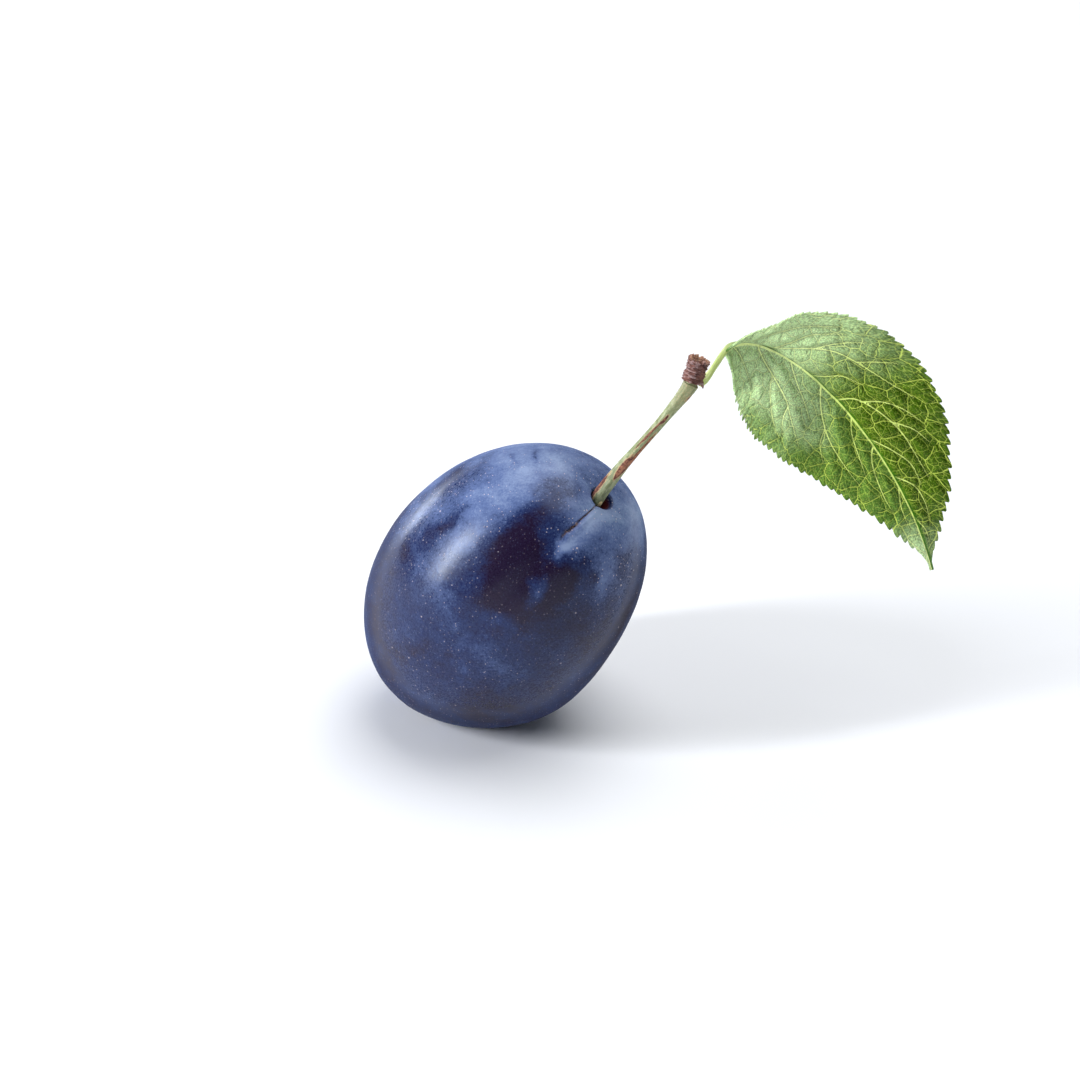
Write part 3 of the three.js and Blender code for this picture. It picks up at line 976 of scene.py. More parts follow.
RUBS = (
    # the broad rub from beside the stalk down towards the seam
    Patch(-19, 19.6, 8.5, 5.5, -0.50, -32),
    Patch(-13, 18.4, 5.6, 3.0, -0.62, -32),
    Patch(-3, 18.4, 3.4, 2.6, -0.75, -20),
    Patch(-6, 15.0, 3.6, 3.6, -0.75),
    Patch(-25, 22.9, 2.4, 2.0, -0.40, -40),
    Patch(-38, 24.8, 2.5, 2.0, -0.16, -50),
    Patch(-54, 25.4, 2.2, 1.8, -0.08),
    Patch(-50, 26.5, 2.3, 1.8, -0.26, -20),
    Patch(-33, 25.6, 2.0, 1.5, -0.16, -30),
    Patch(-21, 16.0, 3.4, 2.0, -0.35, -10),
    Patch(-25, 9.0, 2.4, 3.5, -0.30),
    Patch(12, 19.7, 2.2, 3.0, -0.85),
    Patch(21, 19.4, 2.0, 1.5, -0.75),
    Patch(18, 17.0, 2.8, 2.4, -0.85),
    Patch(5, 13.2, 2.8, 3.4, -0.60),
    # islands of bloom in it
    Patch(8, 17.0, 3.0, 2.3, 1.15, -10),
    Patch(6, 22.4, 2.0, 1.3, 0.85, 20),
    Patch(29, 18.6, 1.8, 1.6, 0.22),
    # smudges and thicker bloom beyond the seam
    Patch(15, 22.0, 1.5, 1.2, -0.25),
    Patch(26, 22.5, 0.9, 1.1, -0.32),
    Patch(36, 21.0, 1.1, 1.0, -0.50),
    Patch(50, 22.0, 4.2, 2.4, 0.26),
    Patch(68, 23.0, 2.0, 1.2, -0.22),
    Patch(42, 14.5, 5.0, 8.0, -0.24),
    Patch(61, 16.5, 2.0, 1.5, -0.22),
    Patch(80, 15.0, 4.0, 2.2, -0.50),
    Patch(115, 25.0, 5.0, 5.0, 0.60),
    Patch(36, 23.0, 3.0, 3.0, -0.16),
    Patch(-105, 25.0, 3.5, 4.0, 0.35),
    # streaks, smudges and thicker bloom on the other side
    Patch(-60, 21.0, 5.5, 6.0, 0.38),
    Patch(-75, 12.0, 6.0, 6.0, -0.22),
    # painted shade: this broad thinning darkens the lower flank on this side
    Patch(-45, 0.0, 6.0, 5.0, -0.24),
    Patch(-50, 10.0, 5.4, 0.9, -0.48, -13),
    Patch(-56, 6.0, 3.5, 1.6, -0.30),
    Patch(-52, 2.0, 1.8, 1.8, -0.45),
    Patch(-33, 10.5, 3.6, 2.2, 0.22),
    # painted shade: this broad thinning darkens the flank towards its rim
    Patch(-80, 0.0, 9.0, 5.0, -0.16),
    Patch(-84, 12.5, 1.6, 1.3, -0.45),
    Patch(-90, 22.6, 2.2, 0.5, -0.50, 60),
    Patch(-88, 19.8, 2.0, 0.4, -0.32, 50),
    # the lower front
    Patch(-8, -5.0, 7.0, 2.4, -0.26, 28),
    Patch(28, -9.0, 5.0, 3.6, -0.22, -20),
    Patch(12, 3.0, 4.0, 6.0, 0.16),
    # the sides that look away from the seam
    Patch(150, 12.0, 7.0, 3.0, -0.62, 20),
    Patch(175, -6.0, 5.0, 6.0, -0.45),
    Patch(-140, 2.0, 8.0, 2.4, -0.60, -30),
    Patch(120, -12.0, 6.0, 3.5, -0.40, 40),
    Patch(-110, -14.0, 5.0, 4.0, -0.36),
    Patch(100, 3.0, 3.0, 6.0, -0.38),
)


@dataclass
class Fruit:
    """The plum itself: its skin, the hollow round the stalk, the seam and the crack beside it.

    The belly moves the middle of the fruit off its axis, and the shift its stalk end. The hollow
    reddens between a pair of depths, the crack wanders and fades between pairs of distances from
    the stalk's end, and the edges of the bloom's patches wander by the warp. A wave of the crack
    is how far it swings, how quickly along the height, and where it starts. The coat of bloom
    gains thickness between a pair of skyward slopes, which is painted light: the upper side is made
    paler and the sides and underside darker, as shade would. Each of the coat's clouds has a size,
    a number of layers, an offset and a weight.
    """

    half_length: float = 27.3
    half_width: float = 19.5
    axis: Place = (0.554, -0.272, 0.787)
    seam: Place = (-0.39, -0.919, -0.044)
    belly_aside: float = -0.24
    belly_seam: float = 0.32
    lump: float = 0.12
    lumps_grow: Pair = (3.0, 12.0)
    dent: float = 0.07
    dent_size: float = 7.0
    dimple_depth: float = 1.3
    dimple_width: float = 4.6
    mouth: float = 1.75
    lip: float = 0.35
    hollow_depth: float = 3.4
    reddens: Pair = (0.25, 1.1)
    floor_radius: float = 1.45
    floor_bevel: float = 0.3
    floor_rise: float = 0.1
    shift_aside: float = 0.92
    shift_seam: float = 0.50
    shift_reach: float = 12.0
    groove_depth: float = 0.3
    groove_width: float = 2.2
    crack_depth: float = 0.5
    crack_width: float = 0.17
    crack_fades: Pair = (2.0, 3.5)
    crack_widest: float = 1.7
    crack_waves: tuple[Place, ...] = ((0.14, 3.1, 0.0), (0.08, 7.3, 1.0), (0.05, 17.0, 0.0))
    crack_wanders: Pair = (1.5, 3.0)
    crack_lip: float = 0.09
    crack_lip_aside: float = 0.75
    crack_lip_width: float = 0.42
    tip_height: float = 0.5
    tip_width: float = 2.4
    bulge: float = 0.07
    bulge_angle: float = 30.0
    bulge_tilt: float = 25.0
    rest_softness: float = 0.5
    warp: float = 1.5
    # The coat below, its gain and its slopes are painted light: thin, dark bloom on the sides and underside
    # as shade, thicker, paler bloom on top
    coat_below: float = 0.22
    skyward_painted_light: float = 0.58
    skyward_painted_light_slopes: Pair = (0.10, 0.90)
    coat_clouds: tuple[tuple[float, int, float, float], ...] = (
        (8.0, 4, 51.0, 0.28), (2.2, 3, 71.0, 0.14),
    )
    crack_bloom: float = 0.30
    hollow_bloom: float = 0.4
    rim_bloom: float = 0.2
    rim_bloom_out: float = 3.4
    rim_bloom_width: float = 1.4
    rings: int = 172
    around: int = 256
    crowding: float = 0.55
    skin: BloomedSkin = BloomedSkin()

    @property
    def rim(self) -> float:
        """The distance from the axis at which the skin turns into the hollow."""
        return self.mouth + self.lip

    @property
    def top(self) -> float:
        """The height of the skin round the hollow."""
        return self.half_length - self.dimple_depth

    def surface(self, angle: Points) -> Points:
        """The plain skin.

        Args:
            angle: The angles up from the blossom end.

        Returns:
            Distances from the axis and heights, drawn in at both ends.
        """
        across = self.half_width * np.sin(angle)
        drop = np.where(
            angle > math.pi / 2,
            self.dimple_depth * bell(across, self.dimple_width),
            self.tip_height * bell(across, self.tip_width),
        )
        return np.column_stack([across, -self.half_length * np.cos(angle) - drop])

    def section(self) -> Points:
        """Half the section.

        Returns:
            Distances from the axis and heights, from the blossom end to the floor of the hollow.
        """
        last = math.pi - math.asin(self.rim / self.half_width)
        skin = self.surface(np.linspace(0, last, self.rings))
        skin[0, 0] = 0.0
        edge = skin[-1, 1]
        turns = np.radians(np.arange(15, 91, 15))
        lip = np.column_stack([
            self.rim - self.lip * np.sin(turns), edge - self.lip * (1 - np.cos(turns)),
        ])
        bottom = edge - self.hollow_depth
        depth = np.linspace(0, 1, 10)[1:]
        wall = np.column_stack([
            self.mouth + (self.floor_radius - self.mouth) * depth,
            lip[-1, 1] + (bottom + self.floor_bevel - lip[-1, 1]) * depth,
        ])
        inner = np.linspace(1, 0, 6)
        ground = np.column_stack([
            (self.floor_radius - self.floor_bevel) * inner, bottom + self.floor_rise * (1 - inner**2),
        ])
        return np.vstack([skin, lip, wall, ground])

    def crack_share(self, height: Points) -> Points:
        """How open the crack is at a height, from 0 to 1."""
        return faded(self.top - height, *self.crack_fades)

    def crack_offset(self, height: Points, aside: Points) -> Points:
        """The distance from the middle of the crack, which wanders a little."""
        wander = sum(swing * np.sin(height * pace + start) for swing, pace, start in self.crack_waves)
        return aside - wander * eased(self.half_length - height, *self.crack_wanders)

    def in_crack(self, height: Points, aside: Points) -> Points:
        """How much of a place is in the crack, which gapes most half way down."""
        gape = self.crack_width * (0.7 + 0.8 * bell(self.top - self.crack_widest - height, 0.7))
        return bell(self.crack_offset(height, aside), gape)

    def seam_depth(self, height: Points, aside: Points) -> Points:
        """How far the seam, and the crack in it, pull the skin in.

        Args:
            height: Heights along the axis.
            aside: Distances from the seam's plane, positive on the far side of the crack.

        Returns:
            The depths; the crack's raised lip counts as less than nothing.
        """
        grows = eased(height, -self.half_length, self.half_length * 0.9)
        groove = self.groove_depth * bell(aside, self.groove_width) * grows
        ragged = 0.7 + 0.3 * np.sin(height * 11.0)
        cut = self.crack_depth * self.in_crack(height, aside) * ragged
        from_lip = self.crack_offset(height, aside) - self.crack_lip_aside
        lip = self.crack_lip * bell(from_lip, self.crack_lip_width)
        return groove + (cut - lip) * self.crack_share(height)

    def grown(self, across: Points, turn: Points, height: Points) -> Points:
        """Makes the round fruit uneven, and moves its belly and its stalk end off the axis.

        Args:
            across: Distances from the axis.
            turn: Turns from the seam, in radians.
            height: Heights along the axis.

        Returns:
            The places, by the side of the seam, the side next to it and the axis.
        """
        slope = height / self.half_length
        middle = 1 - slope**2
        lumps = self.lump * (np.sin(2 * turn + 0.9) * middle + np.sin(3 * turn - 2 + 2.4 * slope))
        wide = across * (1 + lumps * eased(across, *self.lumps_grow) / self.half_width)
        shift = np.where(height > 0, faded(across, 0, self.shift_reach), 0.0)
        return np.column_stack([
            wide * np.cos(turn) + self.shift_seam * shift + self.belly_seam * middle,
            wide * np.sin(turn) + self.shift_aside * shift + self.belly_aside * middle,
            height,
        ])

    def settled(self, straight: Points) -> tuple[Points, dict[str, Points]]:
        """Brings the upright spun fruit to its own shape, leaning on its flat spot.

        Args:
            straight: The spun mesh's corners, stalk end up, seam towards +X.

        Returns:
            The corners at their final place, and the numbers that the finish reads.
        """
        across, turn, height = rounded(straight)
        turn = turn - self.crowding * np.sin(turn)
        upright = np.column_stack([across * np.cos(turn), across * np.sin(turn), height])
        sideways = upright[:, 1]
        seam_side = np.cos(turn) > 0
        inside = (height > 0) & (across < self.rim * 0.99)

        own = self.grown(across, turn, height)
        drawn = np.where(~inside & seam_side, self.seam_depth(height, sideways), 0.0)
        drawn -= np.where(inside, 0.0, self.dent * cloud(upright, self.dent_size, 2, 3.0))
        inwards = -own / np.array([self.half_width, self.half_width, self.half_length]) ** 2
        rim_cut = self.seam_depth(np.full_like(height, self.half_length), sideways)
        wall = eased(height, self.top - self.hollow_depth, self.top)
        own[:, 2] -= np.where(inside & seam_side, rim_cut * wall, 0.0)
        own += unit(inwards) * drawn[:, None]

        axis = unit(self.axis)
        to_seam = unit(np.asarray(self.seam) - np.dot(self.seam, axis) * axis)
        leaning = own @ np.array([to_seam, np.cross(axis, to_seam), axis])
        broken = eased(cloud(upright, 0.5, 2, 5.0), -0.45, 0.0)
        near_crack = self.in_crack(height, sideways) * self.crack_share(height) * broken
        bloom = np.where(inside, self.hollow_bloom, self.bloom(upright, unit(leaning)[:, 2]))
        rim_bloom = self.rim_bloom * bell(across - self.rim_bloom_out, self.rim_bloom_width)
        return self.rested(leaning), {
            "bloom": bloom + rim_bloom * seam_side,
            "hollow": np.where(inside, eased(self.top - height, *self.reddens), 0.0),
            "crack": np.where(seam_side & (across > self.rim * 0.8), near_crack, 0.0),
        }

    def rested(self, points: Points) -> Points:
        """Fills out the underside and lets the fruit down onto its flat spot.

        Args:
            points: Places on the leaning fruit, from its middle.

        Returns:
            The places on the resting fruit.
        """
        tilt = math.radians(self.bulge_tilt)
        axis = unit(self.axis)
        down = unit([axis[0], axis[1], 0.0]) * math.sin(tilt) - np.array([0.0, 0.0, math.cos(tilt)])
        away = np.degrees(np.arccos(np.clip(unit(points) @ down, -1, 1)))
        full = points * (1 + self.bulge * bell(away, self.bulge_angle))[:, None] + FRUIT_MIDDLE
        height, soft = full[:, 2], self.rest_softness
        let_down = np.where(height <= -soft, 0.0, (height + soft) ** 2 / (4 * soft))
        full[:, 2] = np.where(height >= soft, height, let_down)
        return full

    def bloom(self, upright: Points, skyward: Points) -> Points:
        """How thick the bloom lies, from rubs and islands over a cloudy coat; the coat is painted light,
        thicker and paler on the upper side.

        Args:
            upright: The corners on the plain upright fruit.
            skyward: How far each looks up as the fruit lies, from -1 to 1; the coat is painted thicker and
                paler the more a place looks up.

        Returns:
            The bloom: about 0 where it is gone, 0.7 where it lies as grown.
        """
        offsets = (11.0, 23.0, 37.0)
        drift = np.column_stack([cloud(upright, 5.0, 4, offset) for offset in offsets])
        places = upright + self.warp * drift
        # Painted light: the coat thickens and pales where the skin looks up, and thins and darkens on the
        # sides and underside, as shade would
        coat = self.coat_below + self.skyward_painted_light * eased(skyward, *self.skyward_painted_light_slopes)
        coat += sum(weight * cloud(upright, *layer) for *layer, weight in self.coat_clouds)
        coat += sum(patch.adds(places, self.half_width, self.half_length) for patch in RUBS)
        to_seam, sideways, height = upright.T
        beside = eased(self.crack_offset(height, sideways), 0.15, 0.9) * bell(sideways - 1.0, 1.6)
        return coat + self.crack_bloom * beside * self.crack_share(height) * (to_seam > 0)

    def build(self) -> Piece:
        """The dressed skin, in the place of the plain fruit.

        Returns:
            The piece.
        """
        piece = spun("plum_skin", self.section(), self.around)
        places, numbers = self.settled(coordinates(piece))
        finish_shape(piece, places)
        mark(piece, numbers)
        piece.data.materials.append(self.skin.material())
        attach(piece, "root")
        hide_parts("fruit")
        return piece


# ---- Stalk ----


@dataclass(frozen=True)
class Chafe:
    """A corky patch on the stalk: its height, its turn from the front, and how far it reaches."""

    height: float
    turn: float
    length: float
    breadth: float
    strength: float = 1.0

    def share(self, height: Points, turn: Points) -> Points:
        """How much of the patch is at each place.

        Args:
            height: Heights along the stalk.
            turn: Turns from the front, in radians.

        Returns:
            The patch's strength in its middle, and less the farther off a place is.
        """
        off = (np.degrees(turn) - self.turn + 180) % 360 - 180
        away = ((height - self.height) / self.length) ** 2 + (off / self.breadth) ** 2
        return self.strength * np.exp(-away)


@dataclass
class Stalk:
    """The stalk: a ribbed rod that rises out of the fruit's hollow and flares under the spur.

    Its foot is tan up to a pair of heights. Its flare is freckled from a pair of distances below
    its end. The chafes are low crusts of cork.
    """

    path: tuple[Place, ...] = (
        (13.0, -7.3, 17.75), (13.7, -7.7, 18.9), (14.7, -7.95, 21.0), (18.1, -7.15, 25.5),
        (23.3, -5.8, 31.5), (27.8, -4.4, 37.2), (28.2, -4.15, 38.25),
    )
    radii: tuple[float, ...] = (0.85, 1.0, 0.95, 0.84, 0.74, 0.72, 0.78, 0.95, 1.2)
    bevel: float = 0.25
    tenon_radius: float = 0.9
    tenon_length: float = 0.9
    tenon_bevel: float = 0.1
    ridges: int = 5
    ridge_height: float = 0.05
    fibre_height: float = 0.03
    fibres_drawn: float = 0.25
    cork_height: float = 0.035
    crust_height: float = 0.05
    foot: Pair = (0.9, 2.0)
    flare: Pair = (6.5, 3.0)
    around: int = 56
    along: int = 190
    chafes: tuple[Chafe, ...] = (
        Chafe(4.4, -66, 2.6, 34), Chafe(9.4, 16, 1.9, 34, 1.2), Chafe(8.0, 20, 1.2, 20, 0.9),
        Chafe(11.0, 52, 1.6, 22, 0.9), Chafe(14.0, -22, 2.0, 11), Chafe(15.6, -8, 1.6, 10, 0.9),
        Chafe(13.6, 44, 2.8, 15), Chafe(18.6, 14, 1.0, 18), Chafe(17.2, -4, 0.9, 8, 0.8),
        Chafe(23.3, 70, 0.8, 30, 0.8), Chafe(7.0, 170, 2.6, 40), Chafe(15.0, -150, 2.2, 28, 0.9),
        Chafe(20.0, 150, 1.4, 30, 0.8),
    )
    torn: Chafe = Chafe(2.3, 50, 0.6, 26)
    bark: StalkBark = StalkBark()

    def section(self, length: float) -> list[Pair]:
        """Half the section of the straight stalk.

        Args:
            length: The stalk's whole length.

        Returns:
            Distances from the axis and heights, with the tenon for the spur's socket at the end.
        """
        shoulder = length - self.tenon_length
        heights = np.linspace(self.bevel, shoulder, self.along)
        radii = spline([[r] for r in self.radii], np.linspace(0, 1, self.along), even=True)[:, 0]
        return [
            (0.0, 0.0), (self.radii[0] - self.bevel, 0.0), *zip(radii, heights),
            (self.tenon_radius + self.tenon_bevel, shoulder + self.tenon_bevel),
            (self.tenon_radius, length), (0.0, length),
        ]

    def build(self) -> Piece:
        """The dressed stalk, in the place of the plain one.

        Returns:
            The piece.
        """
        path = Path(np.asarray(self.path) + FRUIT_MIDDLE)
        piece = spun("stalk_bark", self.section(path.length), self.around)
        straight = coordinates(piece)
        radius, turn, height = rounded(straight)
        cork = sum(chafe.share(height, turn) for chafe in self.chafes)
        fibres = cloud(straight * np.array([1.0, 1.0, self.fibres_drawn]), 0.8, 3, 5.0)
        crust = self.cork_height + self.crust_height * cloud(straight, 0.55, 4, 9.0)
        ribs = self.ridge_height * np.sin(self.ridges * turn + 4 * height / path.length)
        relief = ribs + self.fibre_height * fibres + eased(cork, 0.3, 0.7) * crust
        swell = 1 + relief * eased(radius, 0.3, 0.7) / np.maximum(radius, 0.5)
        finish_shape(piece, path.carried(straight, swell, UP_AND_FORWARD), 60)
        mark(piece, {
            "straight": straight, "cork": cork, "torn": self.torn.share(height, turn),
            "foot": faded(height, *self.foot),
            "flare": eased(height, *(path.length - below for below in self.flare)),
        })
        piece.data.materials.append(self.bark.material())
        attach(piece, "root")
        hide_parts("stalk")
        return piece


# ---- Spur ----


@dataclass(frozen=True)
class Tuft:
    """Torn strands of one kind.

    They stand between two distances from the spur's axis, are rooted at a depth below its end, and
    are between two lengths long.
    """

    count: int
    out: Pair
    root_depth: float
    lengths: Pair


@dataclass
class SpurStub:
    """The broken end of spur on the stalk: layered bark rings, a torn hollow, and a bud scale.

    The first tuft of torn strands grows in the hollow, and the second at the hollow's edge. The
    heights in a strand's section are shares of its length.
    """

    base: Place = (28.07, -4.23, 37.83)
    axis: Place = (0.3, 0.22, 0.93)
    radius: float = 1.66
    length: float = 3.6
    socket_radius: float = 1.26
    socket_depth: float = 0.85
    hollow_radius: float = 1.0
    hollow_depth: float = 1.25
    brim_share: float = 0.93
    brim_depth: float = 0.5
    layers: int = 9
    layer_depth: float = 0.10
    waist: float = 0.12
    chip_height: float = 0.20
    crust_height: float = 0.07
    shred_depth: float = 0.12
    shred_length: float = 0.45
    tear: float = 0.35
    scale_length: float = 0.8
    scale_flare: float = 0.35
    scale_angle: float = 0.55
    scale_direction: Place = (0.9, 0.25, -0.35)
    around: int = 120
    tufts: tuple[Tuft, ...] = (
        Tuft(24, (0.35, 1.05), 0.9, (0.6, 1.0)), Tuft(10, (1.2, 1.6), 0.35, (0.3, 0.6)),
    )
    strand_section: tuple[Pair, ...] = ((0, 0), (0.055, 0.02), (0.05, 0.4), (0.035, 0.75), (0, 1))
    strand_sides: int = 5
    strand_lean: float = 0.3
    seed: int = 7
    bark: SpurBark = SpurBark()
    strand: TornFibre = TornFibre()

    def placed(self, points: Points) -> Points:
        """Puts points of the upright stub at their place on the stalk.

        Args:
            points: Places round the upright axis, with the bud scale towards +X.

        Returns:
            The places on the stalk.
        """
        axis = unit(self.axis)
        facing = unit(np.asarray(self.scale_direction) - np.dot(self.scale_direction, axis) * axis)
        directions = np.array([facing, np.cross(axis, facing), axis])
        return points @ directions + np.asarray(self.base) + FRUIT_MIDDLE

    def section(self) -> list[Pair]:
        """Half the section.

        Returns:
            Distances from the axis and heights: the socket, the ringed outside and the torn hollow.
        """
        points = [(0.0, self.socket_depth), (self.socket_radius * 0.6, self.socket_depth)]
        points += [(self.socket_radius, height) for height in (self.socket_depth, 0.35, 0.0)]
        for share in np.linspace(0, 1, 70):
            saw = (share * self.layers) % 1.0
            proud = self.layer_depth * (1 - 2 * saw**0.7)
            waist = self.radius - self.waist * math.sin(math.pi * share)
            points.append((waist + proud, 0.04 + (self.length - 0.1) * share))
        brim = self.radius * self.brim_share
        for share in np.linspace(0, 1, 14):
            inwards = (self.hollow_radius - brim) * share**0.7
            points.append((brim + inwards, self.length - self.brim_depth * share**2.5))
        for share in np.linspace(0.1, 1, 12):
            down = (self.hollow_depth - self.brim_depth) * math.sin(share * math.pi / 2)
            points.append((self.hollow_radius * (1 - share**2.2), self.length - self.brim_depth - down))
        points[-1] = (0.0, points[-1][1])
        return points

    def build(self) -> Piece:
        """The dressed stub, in the place of the plain one.

        Returns:
            The piece.
        """
        piece = spun("spur_bark", self.section(), self.around)
        straight = coordinates(piece)
        radius, turn, height = rounded(straight)
        chips = cloud(straight * np.array([0.4, 0.4, 1.6]), 0.7, 5, 3.0)
        crust = cloud(straight, 0.45, 4, 8.0)
        shreds = cloud(straight * np.array([1.0, 1.0, 0.2]), 0.35, 4, 14.0)
        tears = cloud(straight * np.array([1.0, 1.0, 0.0]), 1.1, 3, 4.0)
        outer = eased(radius, self.socket_radius + 0.05, self.radius - 0.1)
        inner = eased(height, self.length - 1.6, self.length - 0.6) * (1 - outer)
        low = faded(height, 0.0, self.scale_length)
        high = eased(height, self.length - 1.2, self.length - 0.1)
        scale = bell(turn, self.scale_angle) * low * eased(radius, self.socket_radius, self.radius)
        swell = outer * (self.chip_height * chips + self.crust_height * crust)
        swell += scale * self.scale_flare + inner * self.shred_depth * shreds
        lift = self.tear * high * tears - scale * self.scale_length
        lift += bell(radius - 1.25, 0.45) * high * self.shred_length * shreds
        swell = 1 + swell / np.maximum(radius, 0.6)
        shaped = np.column_stack([straight[:, :2] * swell[:, None], height + lift])
        finish_shape(piece, self.placed(shaped), 50)
        torn = eased(height, self.length - 0.45, self.length - 0.05)
        mark(piece, {
            "straight": straight,
            # how far each place stands out, which the finish paints grey, partly as a painted highlight
            "proud": np.clip(0.5 + 1.6 * chips + 0.8 * crust, 0, 1) * outer,
            "torn": torn * (0.4 + 0.6 * (1 - outer)),
        })
        piece.data.materials.append(self.bark.material())
        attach(piece, "root")
        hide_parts("spur_stub")
        return piece

    def grow_strand(self, rng: np.random.Generator, tuft: Tuft) -> Piece:
        """One torn strand on the upright stub.

        Args:
            rng: Where its turn, its distance from the axis, its lean and its length come from.
            tuft: The tuft that it belongs to.

        Returns:
            The strand.
        """
        strand = spun("strand", self.strand_section, self.strand_sides)
        shape = coordinates(strand)
        turn, out = rng.uniform(0, 2 * math.pi), rng.uniform(*tuft.out)
        foot = np.array([out * math.cos(turn), out * math.sin(turn), self.length - tuft.root_depth])
        lean, length = rng.normal(0, self.strand_lean, 2), rng.uniform(*tuft.lengths)
        grown = shape[:, 2:]
        bend = np.hstack([lean * grown**2, grown]) * length
        lay(strand, foot + bend + shape * np.array([1.0, 1.0, 0.0]))
        return strand

    def build_fibres(self) -> Piece:
        """The torn strands that stand in the hollow and round its edge.

        Returns:
            The piece.
        """
        rng = np.random.default_rng(self.seed)
        strands = [self.grow_strand(rng, tuft) for tuft in self.tufts for _ in range(tuft.count)]
        alone(*strands)
        bpy.ops.object.join()
        piece = strands[0]
        piece.name = piece.data.name = "spur_fibres"
        finish_shape(piece, self.placed(coordinates(piece)))
        piece.data.materials.append(self.strand.material())
        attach(piece, "root")
        return piece


# ---- Leaf ----


class Half(Enum):
    """The two halves of the blade, by the sign of their distance from the midrib."""

    RIGHT = 1.0
    LEFT = -1.0


@dataclass(frozen=True)
class Vein:
    """A side vein: stations as (share along the blade, share of the half width)."""

    half: Half
    thickness: float
    stations: tuple[Pair, ...]

    def shares(self) -> tuple[Points, Points]:
        """The stations' shares along the blade and across it, with the half's sign."""
        along, outwards = np.array(self.stations).T
        return along, outwards * self.half.value

    def thinned(self, share: Points) -> Points:
        """How much finer than a full vein it is drawn, most of all at its end."""
        return (0.22 - self.thickness) * 0.4 + 0.07 * share + 0.3 * share**8


VEINS = (
    Vein(Half.RIGHT, 0.24, (
        (0.20, 0.0), (0.27, 0.18), (0.36, 0.42), (0.41, 0.52), (0.47, 0.56), (0.54, 0.62), (0.61, 0.77),
    )),
    Vein(Half.RIGHT, 0.13, ((0.41, 0.0), (0.44, 0.14), (0.47, 0.30), (0.52, 0.40))),
    Vein(Half.RIGHT, 0.22, (
        (0.51, 0.0), (0.54, 0.21), (0.61, 0.36), (0.67, 0.45), (0.72, 0.50), (0.78, 0.62),
    )),
    Vein(Half.RIGHT, 0.15, ((0.64, 0.0), (0.69, 0.20), (0.74, 0.38), (0.79, 0.45))),
    Vein(Half.RIGHT, 0.16, ((0.75, 0.0), (0.79, 0.30), (0.84, 0.48), (0.89, 0.60))),
    Vein(Half.RIGHT, 0.10, ((0.86, 0.0), (0.90, 0.35), (0.93, 0.5))),
    Vein(Half.RIGHT, 0.14, ((0.08, 0.0), (0.14, 0.35), (0.20, 0.60), (0.29, 0.74), (0.38, 0.84))),
    Vein(Half.RIGHT, 0.12, ((0.25, 0.15), (0.29, 0.40), (0.33, 0.62), (0.40, 0.78))),
    Vein(Half.RIGHT, 0.11, ((0.36, 0.42), (0.40, 0.62), (0.45, 0.80))),
    Vein(Half.RIGHT, 0.10, ((0.47, 0.56), (0.50, 0.70), (0.53, 0.84))),
    Vein(Half.RIGHT, 0.11, ((0.55, 0.22), (0.58, 0.44), (0.62, 0.60), (0.66, 0.72))),
    Vein(Half.RIGHT, 0.10, ((0.63, 0.39), (0.67, 0.60), (0.71, 0.75))),
    Vein(Half.LEFT, 0.22, (
        (0.19, 0.0), (0.25, 0.20), (0.32, 0.31), (0.40, 0.42), (0.46, 0.57), (0.55, 0.80),
    )),
    Vein(Half.LEFT, 0.20, ((0.45, 0.0), (0.50, 0.20), (0.58, 0.41), (0.67, 0.56), (0.74, 0.68))),
    Vein(Half.LEFT, 0.11, ((0.33, 0.0), (0.38, 0.14), (0.44, 0.26), (0.50, 0.40))),
    Vein(Half.LEFT, 0.12, ((0.57, 0.0), (0.61, 0.14), (0.67, 0.28), (0.72, 0.42))),
    Vein(Half.LEFT, 0.15, ((0.66, 0.0), (0.70, 0.18), (0.79, 0.44), (0.84, 0.58))),
    Vein(Half.LEFT, 0.12, ((0.78, 0.0), (0.83, 0.22), (0.89, 0.46))),
    Vein(Half.LEFT, 0.12, ((0.07, 0.0), (0.12, 0.30), (0.18, 0.52), (0.25, 0.70))),
    Vein(Half.LEFT, 0.11, ((0.30, 0.29), (0.33, 0.48), (0.38, 0.66), (0.43, 0.80))),
    Vein(Half.LEFT, 0.10, ((0.42, 0.48), (0.44, 0.66), (0.48, 0.84))),
    Vein(Half.LEFT, 0.10, ((0.55, 0.34), (0.58, 0.56), (0.63, 0.76))),
)


